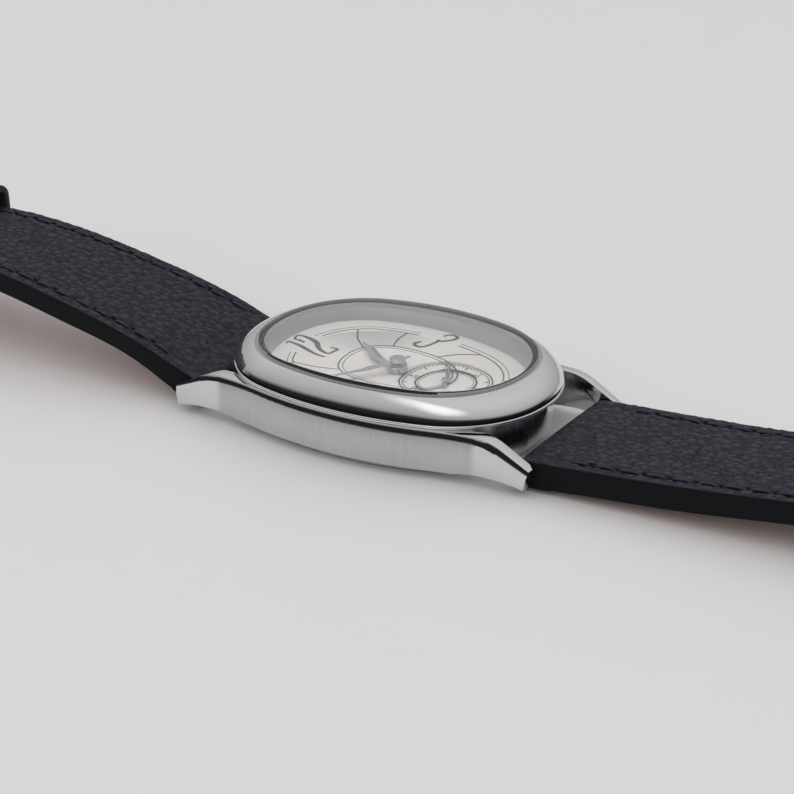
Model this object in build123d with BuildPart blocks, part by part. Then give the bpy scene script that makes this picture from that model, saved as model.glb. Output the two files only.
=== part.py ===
from build123d import *

import os
from math import atan2, cos, hypot, pi, radians, sin, sqrt, tan

os.makedirs("parts", exist_ok=True)

# A wristwatch with an oval steel case, seen with its leather strap laid open on a table.
# X points to three o'clock, Y to twelve o'clock and Z up out of the dial.
# The origin is the centre of the underside of the case back.

# Heights of the case stack, from the table up
case_back_thickness = 1.1
flank_height = 4.79
bead_height = 0.76
groove_height = 0.68
dome_height = 1.67
crystal_edge_rise = 0.45
crystal_dome_rise = 0.5
dial_thickness = 0.4
dial_top = 5.6

# Ovals, as half widths and half lengths, each set in from a larger one
case_half_x = 14.6
bead_side_inset, bead_extra_length = 0.23, 5.73
bead_half_x = case_half_x - bead_side_inset
bead_half_y = bead_half_x + bead_extra_length
seat_side_inset, seat_end_inset = 1.37, 2.95
seat_half_x = bead_half_x - seat_side_inset
seat_half_y = bead_half_y - seat_end_inset
cavity_side_inset, cavity_end_inset = 0.55, 0.75
cavity_half_x = seat_half_x - cavity_side_inset
cavity_half_y = seat_half_y - cavity_end_inset
end_wall_side_inset, end_wall_end_inset = 1.07, 1.2
end_wall_half_x = bead_half_x - end_wall_side_inset
end_wall_half_y = bead_half_y - end_wall_end_inset
groove_depth = 0.45
dome_lip = 0.15
dome_inset = 0.07
side_radius_share = 1.95
end_radius_share = 1.25
corner_radius_share = 0.88

# Flanks and lugs
flank_radius = 46.0
flank_arc_half_length = 12.0
waist_radius = 24.4
lug_splay = 3.2
lug_shoulder = 16.9
lug_tip = 23.6
lug_drop_radius = 6.5
lug_drop_angle = 29.0
lug_tip_bottom = 0.9
lug_tip_undercut = 0.5
lug_arch_start = 14.4
lug_arch_middle = 18.4
lug_arch_height = 1.5
lug_and_flank_width = 4.6
strap_width = 2 * (case_half_x - lug_and_flank_width)
strap_side_gap = 0.15
bevel_depth = 0.85
bevel_width = 0.35
halfway = 0.5
upright_share = 0.95

# Spring bars of the strap and the buckle
bar_y = 22.4
bar_z = 2.0
bar_tube_radius = 0.75
bar_pin_radius = 0.42
bar_pin_depth = 1.0
pin_clearance = 0.03
running_clearance = 0.05

# One overrun serves every cut
overrun = 2.0

# Fixed pins, screws and their holes are drawn with few sides, so that the many of them stay light
pin_sides = 6


def pin(radius, mode=Mode.ADD):
    """Fill the outline of a small fixed pin, or of a hole in a fixed piece."""
    RegularPolygon(radius, pin_sides, mode=mode)


def oval_corners(half_x, half_y):
    """Give the joins and middle of the corner arc in the first quarter of an oval."""
    side_radius = side_radius_share * half_y
    end_radius = end_radius_share * half_x
    corner_radius = corner_radius_share * half_x
    side_centre = Vector(half_x - side_radius, 0)
    end_centre = Vector(0, half_y - end_radius)
    to_side = side_radius - corner_radius
    to_end = end_radius - corner_radius
    line = end_centre - side_centre
    along = (to_side**2 - to_end**2 + line.length**2) / (2 * line.length)
    across = sqrt(to_side**2 - along**2)
    unit = line.normalized()
    centre = side_centre + unit * along + Vector(-unit.Y, unit.X) * across
    at_side = side_centre + (centre - side_centre).normalized() * side_radius
    at_end = end_centre + (centre - end_centre).normalized() * end_radius
    outward = (at_side - centre) + (at_end - centre)
    middle = centre + outward.normalized() * corner_radius
    return at_side, middle, at_end


def oval(half_x, half_y, mode=Mode.ADD):
    """Fill an oval of eight tangent arcs in the active sketch."""
    at_side, middle, at_end = oval_corners(half_x, half_y)
    with BuildLine(Plane.XY) as outline:
        for sx in (1, -1):
            ThreePointArc((sx * at_side.X, -at_side.Y), (sx * half_x, 0), (sx * at_side.X, at_side.Y))
        for sy in (1, -1):
            ThreePointArc((-at_end.X, sy * at_end.Y), (0, sy * half_y), (at_end.X, sy * at_end.Y))
        for sx in (1, -1):
            for sy in (1, -1):
                ThreePointArc(
                    (sx * at_side.X, sy * at_side.Y),
                    (sx * middle.X, sy * middle.Y),
                    (sx * at_end.X, sy * at_end.Y),
                )
    make_face(outline.edges(), mode=mode)


# Case middle: an oval band that flows into four down-turned lugs
flank_bottom = case_back_thickness
case_top = flank_bottom + flank_height
seat_top = case_top + bead_height + groove_height + dome_height
lug_gap_half_x = strap_width / 2 + strap_side_gap
flank_turn = radians(90) - atan2(sqrt(flank_radius**2 - flank_arc_half_length**2), flank_arc_half_length)
flank_join_x = case_half_x - flank_radius * (1 - cos(flank_turn))
waist_centre_x = flank_join_x + waist_radius * cos(flank_turn)
waist_centre_y = flank_arc_half_length + waist_radius * sin(flank_turn)
splay = radians(lug_splay)


def waist_point(turn):
    """Give the point of the hollow arc where flank turns into lug."""
    return waist_centre_x - waist_radius * cos(turn), waist_centre_y - waist_radius * sin(turn)


waist_middle = waist_point((flank_turn + splay) / 2)
waist_end = waist_point(splay)
lug_tip_x = waist_end[0] - (lug_tip - waist_end[1]) * tan(splay)


def case_plan():
    """Fill the outline of the case from above, lugs included."""
    with BuildLine(Plane.XY) as outline:
        for sx in (1, -1):
            ThreePointArc(
                (sx * flank_join_x, -flank_arc_half_length),
                (sx * case_half_x, 0),
                (sx * flank_join_x, flank_arc_half_length),
            )
            for sy in (1, -1):
                ThreePointArc(
                    (sx * flank_join_x, sy * flank_arc_half_length),
                    (sx * waist_middle[0], sy * waist_middle[1]),
                    (sx * waist_end[0], sy * waist_end[1]),
                )
                Line((sx * waist_end[0], sy * waist_end[1]), (sx * lug_tip_x, sy * lug_tip))
        for sy in (1, -1):
            Line((-lug_tip_x, sy * lug_tip), (lug_tip_x, sy * lug_tip))
    make_face(outline.edges())


lug_drop = radians(lug_drop_angle)
lug_drop_y = lug_shoulder + lug_drop_radius * sin(lug_drop)
lug_drop_z = case_top - lug_drop_radius * (1 - cos(lug_drop))
lug_drop_middle = (
    lug_shoulder + lug_drop_radius * sin(lug_drop / 2),
    case_top - lug_drop_radius * (1 - cos(lug_drop / 2)),
)
lug_tip_top = lug_drop_z - (lug_tip - lug_drop_y) * tan(lug_drop)


def case_side_view():
    """Fill the outline of the case from the side, with the lugs' drop and the arch under them."""
    with BuildLine(Plane.XY) as outline:
        Line((-lug_shoulder, case_top), (lug_shoulder, case_top))
        Line((-lug_arch_start, flank_bottom), (lug_arch_start, flank_bottom))
        for sy in (1, -1):
            ThreePointArc(
                (sy * lug_shoulder, case_top),
                (sy * lug_drop_middle[0], lug_drop_middle[1]),
                (sy * lug_drop_y, lug_drop_z),
            )
            Line((sy * lug_drop_y, lug_drop_z), (sy * lug_tip, lug_tip_top))
            Line((sy * lug_tip, lug_tip_top), (sy * (lug_tip - lug_tip_undercut), lug_tip_bottom))
            ThreePointArc(
                (sy * (lug_tip - lug_tip_undercut), lug_tip_bottom),
                (sy * lug_arch_middle, lug_arch_height),
                (sy * lug_arch_start, flank_bottom),
            )
    make_face(outline.edges())


# Crown, its tube and the holes they need
stem_height = 2.9
crown_tube_radius = 1.15
crown_tube_bore = 0.55

# Case back and its screws
back_side_inset, back_end_inset = 0.97, 2.2
back_half_x = bead_half_x - back_side_inset
back_half_y = bead_half_y - back_end_inset
back_screw_x = 4.5
back_screw_inset = 1.4
back_screw_y = back_half_y - back_screw_inset
screw_shank_radius = 0.35
screw_head_radius = 0.68
screw_head_height = 0.5
screw_length = 2.2

with BuildPart() as case_middle:
    with BuildSketch(Plane.XY.offset(lug_tip_bottom)):
        case_plan()
    extrude(amount=case_top - lug_tip_bottom)
    with BuildSketch(Plane.YZ):
        case_side_view()
    extrude(amount=case_half_x + overrun, both=True, mode=Mode.INTERSECT)
    with BuildSketch(Plane.XY.offset(lug_tip_bottom - overrun)):
        Rectangle(2 * lug_gap_half_x, 2 * (lug_tip + overrun))
        oval(end_wall_half_x, end_wall_half_y, mode=Mode.SUBTRACT)
    extrude(amount=case_top + 2 * overrun, mode=Mode.SUBTRACT)
    outer_rim = [
        edge
        for edge in case_middle.edges()
        if edge.center().Z > lug_tip_top
        and min(abs(place.X) for place in (edge @ 0, edge.center(), edge @ 1)) > lug_gap_half_x + strap_side_gap
        and abs((edge % halfway).Z) < upright_share
    ]
    chamfer(outer_rim, length=bevel_width, length2=bevel_depth)
    with BuildSketch(Plane.XY):
        oval(cavity_half_x, cavity_half_y)
    extrude(amount=case_top + overrun, mode=Mode.SUBTRACT)
    with BuildSketch(Plane.YZ):
        with Locations((bar_y, bar_z), (-bar_y, bar_z)):
            pin(bar_pin_radius + pin_clearance)
    extrude(amount=lug_gap_half_x + bar_pin_depth, both=True, mode=Mode.SUBTRACT)
    with BuildSketch(Plane.YZ):
        with Locations((0, stem_height)):
            Circle(crown_tube_radius)
    extrude(amount=case_half_x + overrun, mode=Mode.SUBTRACT)
    with BuildSketch(Plane.XY):
        with GridLocations(2 * back_screw_x, 2 * back_screw_y, 2, 2):
            pin(screw_shank_radius + pin_clearance)
    extrude(amount=screw_length + pin_clearance, mode=Mode.SUBTRACT)

case_middle.part.label = "case_middle"
export_step(case_middle.part, "parts/case_middle.step")

# Bezel: a rounded bead, a groove and a dome that widens towards twelve and six
bead_top = case_top + bead_height
dome_bottom = bead_top + groove_height
bead_bevel = 0.2
seat_floor = 7.5
dome_turn_shares = (0, 0.42, 0.76, 1)

with BuildPart() as bezel:
    with BuildSketch(Plane.XY.offset(case_top)):
        oval(bead_half_x, bead_half_y)
    extrude(amount=bead_height)
    chamfer(bezel.edges().group_by(Axis.Z)[-1] + bezel.edges().group_by(Axis.Z)[0], bead_bevel)
    with BuildSketch(Plane.XY.offset(bead_top)):
        oval(bead_half_x - groove_depth, bead_half_y - groove_depth)
    extrude(amount=groove_height)
    for share in dome_turn_shares:
        turn = share * pi / 2
        with BuildSketch(Plane.XY.offset(dome_bottom + dome_height * sin(turn))):
            oval(
                seat_half_x + dome_lip + (bead_half_x - dome_inset - seat_half_x - dome_lip) * cos(turn),
                seat_half_y + dome_lip + (bead_half_y - dome_inset - seat_half_y - dome_lip) * cos(turn),
            )
    loft(ruled=True)
    with BuildSketch(Plane.XY.offset(case_top)):
        oval(cavity_half_x, cavity_half_y)
    extrude(amount=seat_top, mode=Mode.SUBTRACT)
    with BuildSketch(Plane.XY.offset(seat_floor)):
        oval(seat_half_x, seat_half_y)
    extrude(amount=seat_top, mode=Mode.SUBTRACT)
bezel.part.label = "bezel"
export_step(bezel.part, "parts/bezel.step")

# Crystal and the gasket that grips it in its seat
gasket_wall = 0.4
gasket_height = 1.4
crystal_half_x = seat_half_x - gasket_wall
crystal_half_y = seat_half_y - gasket_wall
crystal_wall_top = seat_top + crystal_edge_rise
crystal_dome_radius = (crystal_half_y**2 + crystal_dome_rise**2) / (2 * crystal_dome_rise)
crystal_bevel = 0.25
crystal_foot_width = 0.7
crystal_hollow_height = 0.7

with BuildPart() as crystal_gasket:
    with BuildSketch(Plane.XY.offset(seat_floor)):
        oval(seat_half_x, seat_half_y)
        oval(crystal_half_x, crystal_half_y, mode=Mode.SUBTRACT)
    extrude(amount=gasket_height)
crystal_gasket.part.label = "crystal_gasket"
export_step(crystal_gasket.part, "parts/crystal_gasket.step")

with BuildPart() as crystal:
    with BuildSketch(Plane.XY.offset(seat_floor)):
        oval(crystal_half_x, crystal_half_y)
    extrude(amount=crystal_wall_top + crystal_dome_rise - seat_floor)
    with Locations((0, 0, crystal_wall_top + crystal_dome_rise - crystal_dome_radius)):
        Sphere(crystal_dome_radius, mode=Mode.INTERSECT)
    with BuildSketch(Plane.XY.offset(seat_floor)):
        oval(crystal_half_x - crystal_foot_width, crystal_half_y - crystal_foot_width)
    extrude(amount=crystal_hollow_height, mode=Mode.SUBTRACT)
    chamfer(crystal.faces().sort_by(Axis.Z)[-1].outer_wire().edges(), crystal_bevel)
crystal.part.label = "crystal"
export_step(crystal.part, "parts/crystal.step")

# Dial, and the sloping flange that stands on its edge
dial_gap = 0.05
dial_half_x = cavity_half_x - dial_gap
dial_half_y = cavity_half_y - dial_gap
dial_bottom = dial_top - dial_thickness
flange_foot = 0.75
flange_head = 0.3
seconds_y = 6.4
hour_hole_radius = 0.95
seconds_hole_radius = 0.35
seconds_ring_radius = 5.6
seconds_ring_depth = 0.1

with BuildPart() as dial:
    with BuildSketch(Plane.XY.offset(dial_bottom)):
        oval(dial_half_x, dial_half_y)
        Circle(hour_hole_radius, mode=Mode.SUBTRACT)
        with Locations((0, -seconds_y)):
            Circle(seconds_hole_radius, mode=Mode.SUBTRACT)
    extrude(amount=dial_thickness)
    with BuildSketch(Plane.XY.offset(dial_top)):
        with Locations((0, -seconds_y)):
            Circle(seconds_ring_radius)
    extrude(amount=-seconds_ring_depth, mode=Mode.SUBTRACT)
dial.part.label = "dial"
export_step(dial.part, "parts/dial.step")

with BuildPart() as dial_flange:
    with BuildSketch(Plane.XY.offset(dial_top)):
        oval(dial_half_x, dial_half_y)
    extrude(amount=seat_floor - dial_top)
    with BuildSketch(Plane.XY.offset(dial_top)):
        oval(dial_half_x - flange_foot, dial_half_y - flange_foot)
    with BuildSketch(Plane.XY.offset(seat_floor)):
        oval(dial_half_x - flange_head, dial_half_y - flange_head)
    loft(ruled=True, mode=Mode.SUBTRACT)
dial_flange.part.label = "dial_flange"
export_step(dial_flange.part, "parts/dial_flange.step")

# Case back with a raised rim inside, its gasket and four screws
back_wall = 0.9
rim_height = 0.4
rim_inset = 0.45
rim_half_x = cavity_half_x - rim_inset
rim_half_y = cavity_half_y - rim_inset
rim_width = 0.6
back_edge_bevel = 0.3

with BuildPart() as case_back:
    with BuildSketch():
        oval(back_half_x, back_half_y)
    extrude(amount=case_back_thickness)
    chamfer(case_back.edges().group_by(Axis.Z)[0], back_edge_bevel)
    with BuildSketch(Plane.XY.offset(case_back_thickness)):
        oval(rim_half_x, rim_half_y)
    extrude(amount=rim_height)
    with BuildSketch(Plane.XY.offset(back_wall)):
        oval(rim_half_x - rim_width, rim_half_y - rim_width)
    extrude(amount=case_back_thickness, mode=Mode.SUBTRACT)
    with BuildSketch():
        with GridLocations(2 * back_screw_x, 2 * back_screw_y, 2, 2):
            pin(screw_head_radius + pin_clearance)
    extrude(amount=screw_head_height, mode=Mode.SUBTRACT)
    with BuildSketch():
        with GridLocations(2 * back_screw_x, 2 * back_screw_y, 2, 2):
            pin(screw_shank_radius + pin_clearance)
    extrude(amount=case_back_thickness, mode=Mode.SUBTRACT)
case_back.part.label = "case_back"
export_step(case_back.part, "parts/case_back.step")

with BuildPart() as case_back_gasket:
    with BuildSketch(Plane.XY.offset(case_back_thickness)):
        oval(cavity_half_x, cavity_half_y)
        oval(rim_half_x, rim_half_y, mode=Mode.SUBTRACT)
    extrude(amount=rim_height)
case_back_gasket.part.label = "case_back_gasket"
export_step(case_back_gasket.part, "parts/case_back_gasket.step")

screw_recess = 0.05
screw_slot_width = 0.22
screw_slot_depth = 0.2

with BuildPart() as case_back_screws:
    with BuildSketch(Plane.XY.offset(screw_recess)):
        with GridLocations(2 * back_screw_x, 2 * back_screw_y, 2, 2):
            pin(screw_head_radius)
    extrude(amount=screw_head_height - screw_recess)
    with BuildSketch(Plane.XY.offset(screw_recess)):
        with GridLocations(2 * back_screw_x, 2 * back_screw_y, 2, 2):
            pin(screw_shank_radius)
    extrude(amount=screw_length - screw_recess)
    with BuildSketch(Plane.XY.offset(screw_recess)):
        with GridLocations(2 * back_screw_x, 2 * back_screw_y, 2, 2):
            Rectangle(2 * screw_head_radius + overrun, screw_slot_width)
    extrude(amount=screw_slot_depth, mode=Mode.SUBTRACT)
case_back_screws.part.label = "case_back_screws"
export_step(case_back_screws.part, "parts/case_back_screws.step")

# Movement: a holder, a main plate and the bridges over the wheels
movement_radius = 11.3
movement_gap = 0.05
holder_bottom = 2.2
plate_top = 5.0
plate_bottom = 3.9
bridge_top = 2.35
bridge_bottom = 1.65
bridge_radius = 10.9
pillar_radius = 0.5
balance_cock_radius = 1.0
movement_screw_radius = 0.2
movement_screw_top = 4.6
movement_head_radius = 0.42
movement_head_recess = 0.3
head_sink = 0.05
centre_arbor_radius = 0.3
pivot_radius = 0.15
seconds_arbor_radius = 0.2

# Places of the wheels, seen from the dial
third_teeth, third_pinion_teeth, third_module = 60, 8, 0.1125
centre_teeth, centre_pinion_teeth, centre_module = 64, 9, 0.125
fourth_teeth, fourth_module = 60, 0.1066
escape_pinion_teeth = 6
fourth_pinion_teeth = 8
barrel_teeth, barrel_module = 60, 0.16
mesh_gap = 0.03
barrel_angle = 75.0
escape_angle = 200.0
minute_wheel_angle = 30.0


def along_angle(angle, reach):
    """Give the point at a distance from the middle along an angle in degrees."""
    return reach * cos(radians(angle)), reach * sin(radians(angle))


centre_to_third = centre_module * (centre_teeth + third_pinion_teeth) / 2 + mesh_gap
third_to_fourth = third_module * (third_teeth + fourth_pinion_teeth) / 2 + mesh_gap
third_y = -(seconds_y**2 + centre_to_third**2 - third_to_fourth**2) / (2 * seconds_y)
third_x = sqrt(centre_to_third**2 - third_y**2)
barrel_place = along_angle(barrel_angle, barrel_module * (barrel_teeth + centre_pinion_teeth) / 2 + mesh_gap)
escape_offset = along_angle(escape_angle, fourth_module * (fourth_teeth + escape_pinion_teeth) / 2 + mesh_gap)
escape_place = (escape_offset[0], escape_offset[1] - seconds_y)
barrel_arbor_radius = 0.6
ratchet_bottom = 1.2
ratchet_thickness = 0.4
ratchet_teeth, crown_wheel_teeth, ratchet_module = 45, 24, 0.2
crown_wheel_stud_radius = 0.45
crown_wheel_reach = ratchet_module * (ratchet_teeth + crown_wheel_teeth) / 2 + mesh_gap
crown_wheel_place = (barrel_place[0] + sqrt(crown_wheel_reach**2 - barrel_place[1] ** 2), 0)
crown_lobe_radius = 1.4
crown_lobe_gap = 0.3
pallet_place = (-4.71, -5.71)
balance_place = (-7.0, -2.6)
balance_radius = 3.2
cock_foot = (-8.4, 1.7)
cock_foot_radius = 1.2
cock_clearance = 0.4
barrel_pillars = ((-6.6, 6.6), (6.6, 8.0), (9.8, 3.2))
train_pillars = ((7.2, -7.4), (-1.2, -10.2), (9.8, -1.9))
bridge_split = 0.8
bridge_gap = 0.2
train_bridge_edge = -4.4
keyless_notch_start = 7.35
keyless_pocket_start = 5.6
keyless_pocket_floor = 1.95
keyless_notch_end = 9.4
keyless_notch_half_width = 1.35

# Motion work under the dial
motion_teeth_small, motion_teeth_large, motion_module = 12, 36, 0.1
hour_pinion_teeth, hour_teeth, hour_module = 10, 40, 0.096
minute_wheel_place = along_angle(
    minute_wheel_angle, motion_module * (motion_teeth_small + motion_teeth_large) / 2 + mesh_gap
)
pocket_floor = 4.3
pocket_centre_radius = 2.15
pocket_minute_radius = 2.05
minute_stud_radius = 0.2
minute_stud_top = 4.85
stem_block_start = 4.5
stem_block_end = 5.2
stem_block_half_width = 0.6
stem_block_bottom = 2.5
stem_pivot_radius = 0.25
winding_pocket_depth = 0.3


def keyless_pocket(mode=Mode.ADD):
    """Fill the room that both pinions on the stem need."""
    with Locations(((keyless_pocket_start + keyless_notch_end) / 2, 0)):
        Rectangle(keyless_notch_end - keyless_pocket_start, 2 * keyless_notch_half_width, mode=mode)


def keyless_notch(mode=Mode.ADD):
    """Fill the room that the winding pinion needs to reach the crown wheel."""
    with Locations(((keyless_notch_start + keyless_notch_end) / 2, 0)):
        Rectangle(keyless_notch_end - keyless_notch_start, 2 * keyless_notch_half_width, mode=mode)


with BuildPart() as movement_holder:
    with BuildSketch(Plane.XY.offset(holder_bottom)):
        oval(dial_half_x, dial_half_y)
        Circle(movement_radius + movement_gap, mode=Mode.SUBTRACT)
    extrude(amount=dial_bottom - holder_bottom)
    with BuildSketch(Plane.YZ):
        with Locations((0, stem_height)):
            Circle(crown_tube_radius)
    extrude(amount=case_half_x, mode=Mode.SUBTRACT)
movement_holder.part.label = "movement_holder"
export_step(movement_holder.part, "parts/movement_holder.step")

with BuildPart() as main_plate:
    with BuildSketch(Plane.XY.offset(plate_bottom)):
        Circle(movement_radius)
    extrude(amount=plate_top - plate_bottom)
    with BuildSketch(Plane.XY.offset(pocket_floor)):
        Circle(pocket_centre_radius)
        with Locations(minute_wheel_place):
            Circle(pocket_minute_radius)
    extrude(amount=plate_top, mode=Mode.SUBTRACT)
    with BuildSketch(Plane.XY.offset(pocket_floor)):
        with Locations(minute_wheel_place):
            pin(minute_stud_radius)
    extrude(amount=minute_stud_top - pocket_floor)
    with BuildSketch(Plane.XY.offset(stem_block_bottom)):
        with Locations(((stem_block_start + stem_block_end) / 2, 0)):
            Rectangle(stem_block_end - stem_block_start, 2 * stem_block_half_width)
    extrude(amount=plate_bottom - stem_block_bottom)
    with BuildSketch(Plane.XY.offset(plate_bottom)):
        keyless_pocket()
    extrude(amount=winding_pocket_depth, mode=Mode.SUBTRACT)
    with BuildSketch(Plane.YZ.offset(stem_block_start)):
        with Locations((0, stem_height)):
            Circle(stem_pivot_radius + running_clearance)
    extrude(amount=stem_block_end - stem_block_start, mode=Mode.SUBTRACT)
    with BuildSketch(Plane.XY.offset(plate_bottom)):
        Circle(centre_arbor_radius + running_clearance)
        with Locations((0, -seconds_y)):
            pin(seconds_arbor_radius + running_clearance)
        with Locations((third_x, third_y), barrel_place, escape_place, pallet_place, balance_place):
            pin(pivot_radius + running_clearance)
    extrude(amount=plate_top, mode=Mode.SUBTRACT)
    with BuildSketch(Plane.XY.offset(plate_bottom)):
        with Locations(*barrel_pillars, *train_pillars, cock_foot):
            pin(movement_screw_radius + pin_clearance)
    extrude(amount=movement_screw_top + pin_clearance - plate_bottom, mode=Mode.SUBTRACT)
main_plate.part.label = "main_plate"
export_step(main_plate.part, "parts/main_plate.step")

with BuildPart() as barrel_bridge:
    with BuildSketch(Plane.XY.offset(bridge_bottom)):
        Circle(bridge_radius)
        with Locations((0, bridge_split + bridge_gap / 2 - bridge_radius)):
            Rectangle(2 * bridge_radius, 2 * bridge_radius, mode=Mode.SUBTRACT)
        with Locations(cock_foot):
            Circle(cock_foot_radius + cock_clearance, mode=Mode.SUBTRACT)
        with Locations(crown_wheel_place):
            Circle(crown_lobe_radius)
        keyless_notch(Mode.SUBTRACT)
        with Locations(barrel_place):
            Circle(barrel_arbor_radius + running_clearance, mode=Mode.SUBTRACT)
    extrude(amount=bridge_top - bridge_bottom)
    with BuildSketch(Plane.XY.offset(keyless_pocket_floor)):
        keyless_pocket()
    extrude(amount=bridge_top - keyless_pocket_floor, mode=Mode.SUBTRACT)
    with BuildSketch(Plane.XY.offset(ratchet_bottom)):
        with Locations(crown_wheel_place):
            pin(crown_wheel_stud_radius)
    extrude(amount=bridge_bottom - ratchet_bottom)
    with BuildSketch(Plane.XY.offset(bridge_top)):
        with Locations(*barrel_pillars):
            pin(pillar_radius)
    extrude(amount=plate_bottom - bridge_top)
    with BuildSketch(Plane.XY.offset(bridge_bottom)):
        with Locations(*barrel_pillars):
            pin(movement_screw_radius + pin_clearance)
    extrude(amount=plate_bottom - bridge_bottom, mode=Mode.SUBTRACT)
    with BuildSketch(Plane.XY.offset(bridge_bottom)):
        with Locations(*barrel_pillars):
            pin(movement_head_radius + pin_clearance)
    extrude(amount=movement_head_recess, mode=Mode.SUBTRACT)
barrel_bridge.part.label = "barrel_bridge"
export_step(barrel_bridge.part, "parts/barrel_bridge.step")

with BuildPart() as train_bridge:
    with BuildSketch(Plane.XY.offset(bridge_bottom)):
        Circle(bridge_radius)
        with Locations((0, bridge_split - bridge_gap / 2 + bridge_radius)):
            Rectangle(2 * bridge_radius, 2 * bridge_radius, mode=Mode.SUBTRACT)
        with Locations((train_bridge_edge - bridge_radius, 0)):
            Rectangle(2 * bridge_radius, 2 * bridge_radius, mode=Mode.SUBTRACT)
        with Locations(crown_wheel_place):
            Circle(crown_lobe_radius + crown_lobe_gap, mode=Mode.SUBTRACT)
        keyless_notch(Mode.SUBTRACT)
        with Locations((0, 0), (third_x, third_y), (0, -seconds_y), escape_place):
            pin(pivot_radius + running_clearance, mode=Mode.SUBTRACT)
    extrude(amount=bridge_top - bridge_bottom)
    with BuildSketch(Plane.XY.offset(keyless_pocket_floor)):
        keyless_pocket()
    extrude(amount=bridge_top - keyless_pocket_floor, mode=Mode.SUBTRACT)
    with BuildSketch(Plane.XY.offset(bridge_top)):
        with Locations(*train_pillars):
            pin(pillar_radius)
    extrude(amount=plate_bottom - bridge_top)
    with BuildSketch(Plane.XY.offset(bridge_bottom)):
        with Locations(*train_pillars):
            pin(movement_screw_radius + pin_clearance)
    extrude(amount=plate_bottom - bridge_bottom, mode=Mode.SUBTRACT)
    with BuildSketch(Plane.XY.offset(bridge_bottom)):
        with Locations(*train_pillars):
            pin(movement_head_radius + pin_clearance)
    extrude(amount=movement_head_recess, mode=Mode.SUBTRACT)
train_bridge.part.label = "train_bridge"
export_step(train_bridge.part, "parts/train_bridge.step")

with BuildPart() as balance_cock:
    with BuildSketch(Plane.XY.offset(bridge_bottom)):
        with Locations(cock_foot, balance_place):
            Circle(balance_cock_radius)
        make_hull()
        with Locations(balance_place):
            pin(pivot_radius + running_clearance, mode=Mode.SUBTRACT)
    extrude(amount=bridge_top - bridge_bottom)
    with BuildSketch(Plane.XY.offset(bridge_top)):
        with Locations(cock_foot):
            pin(pillar_radius)
    extrude(amount=plate_bottom - bridge_top)
    with BuildSketch(Plane.XY.offset(bridge_bottom)):
        with Locations(cock_foot):
            pin(movement_screw_radius + pin_clearance)
    extrude(amount=plate_bottom - bridge_bottom, mode=Mode.SUBTRACT)
    with BuildSketch(Plane.XY.offset(bridge_bottom)):
        with Locations(cock_foot):
            pin(movement_head_radius + pin_clearance)
    extrude(amount=movement_head_recess, mode=Mode.SUBTRACT)
balance_cock.part.label = "balance_cock"
export_step(balance_cock.part, "parts/balance_cock.step")

with BuildPart() as movement_screws:
    with BuildSketch(Plane.XY.offset(bridge_bottom + head_sink)):
        with Locations(*barrel_pillars, *train_pillars, cock_foot):
            pin(movement_head_radius)
    extrude(amount=movement_head_recess - head_sink)
    with BuildSketch(Plane.XY.offset(bridge_bottom + head_sink)):
        with Locations(*barrel_pillars, *train_pillars, cock_foot):
            pin(movement_screw_radius)
    extrude(amount=movement_screw_top - bridge_bottom - head_sink)
movement_screws.part.label = "movement_screws"
export_step(movement_screws.part, "parts/movement_screws.step")

# Toothed wheels: every tooth is a small wedge, with its tip and its root on two circles
addendum_share = 0.8
dedendum_share = 0.9


def zigzag(count, tip_radius, root_radius, tip_angle):
    """Fill a round outline of tips and roots, with one tip at an angle in degrees."""
    points = []
    for step in range(count):
        points.append(along_angle(tip_angle + step * 360 / count, tip_radius))
        points.append(along_angle(tip_angle + (step * 360 + 180) / count, root_radius))
    with BuildLine(Plane.XY) as outline:
        Polyline(*points, close=True)
    make_face(outline.edges())


def toothed(teeth, module, tip_angle):
    """Fill a toothed outline with one tooth tip at an angle in degrees."""
    zigzag(
        teeth,
        module * (teeth / 2 + addendum_share),
        module * (teeth / 2 - dedendum_share),
        tip_angle,
    )


def bearing(start, end):
    """Give the angle in degrees of the line from one place to another."""
    return atan2(end[1] - start[1], end[0] - start[0]) * 180 / pi


def meeting(angle, teeth):
    """Give the tip angle that lays a tooth gap on a line of centres."""
    return angle + 180 / teeth


centre_place = (0, 0)
third_place = (third_x, third_y)
fourth_place = (0, -seconds_y)
pivot_bottom = 1.75
pivot_top = 4.6
wheel_thickness = 0.2
barrel_drum_bottom = 2.8
barrel_drum_height = 1.0
barrel_drum_radius = 4.4
barrel_wall = 0.2
barrel_teeth_height = 0.3
centre_wheel_bottom = 2.45
centre_pinion_height = 0.95
third_pinion_bottom = 2.4
third_pinion_height = 0.38
third_wheel_bottom = 3.1
fourth_wheel_bottom = 2.82
fourth_pinion_height = 0.3
escape_teeth, escape_module = 15, 0.24
escape_wheel_bottom = 3.3
escape_thickness = 0.12
centre_arbor_top = 6.5
seconds_arbor_top = 5.95

with BuildPart() as barrel_arbor:
    with BuildSketch(Plane.XY.offset(ratchet_bottom)):
        with Locations(barrel_place):
            Circle(barrel_arbor_radius)
    extrude(amount=barrel_drum_bottom + barrel_drum_height - ratchet_bottom)
    with BuildSketch(Plane.XY.offset(ratchet_bottom)):
        with Locations(barrel_place):
            Circle(pivot_radius)
    extrude(amount=pivot_top - ratchet_bottom)
barrel_arbor.part.label = "barrel_arbor"
export_step(barrel_arbor.part, "parts/barrel_arbor.step")

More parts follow.
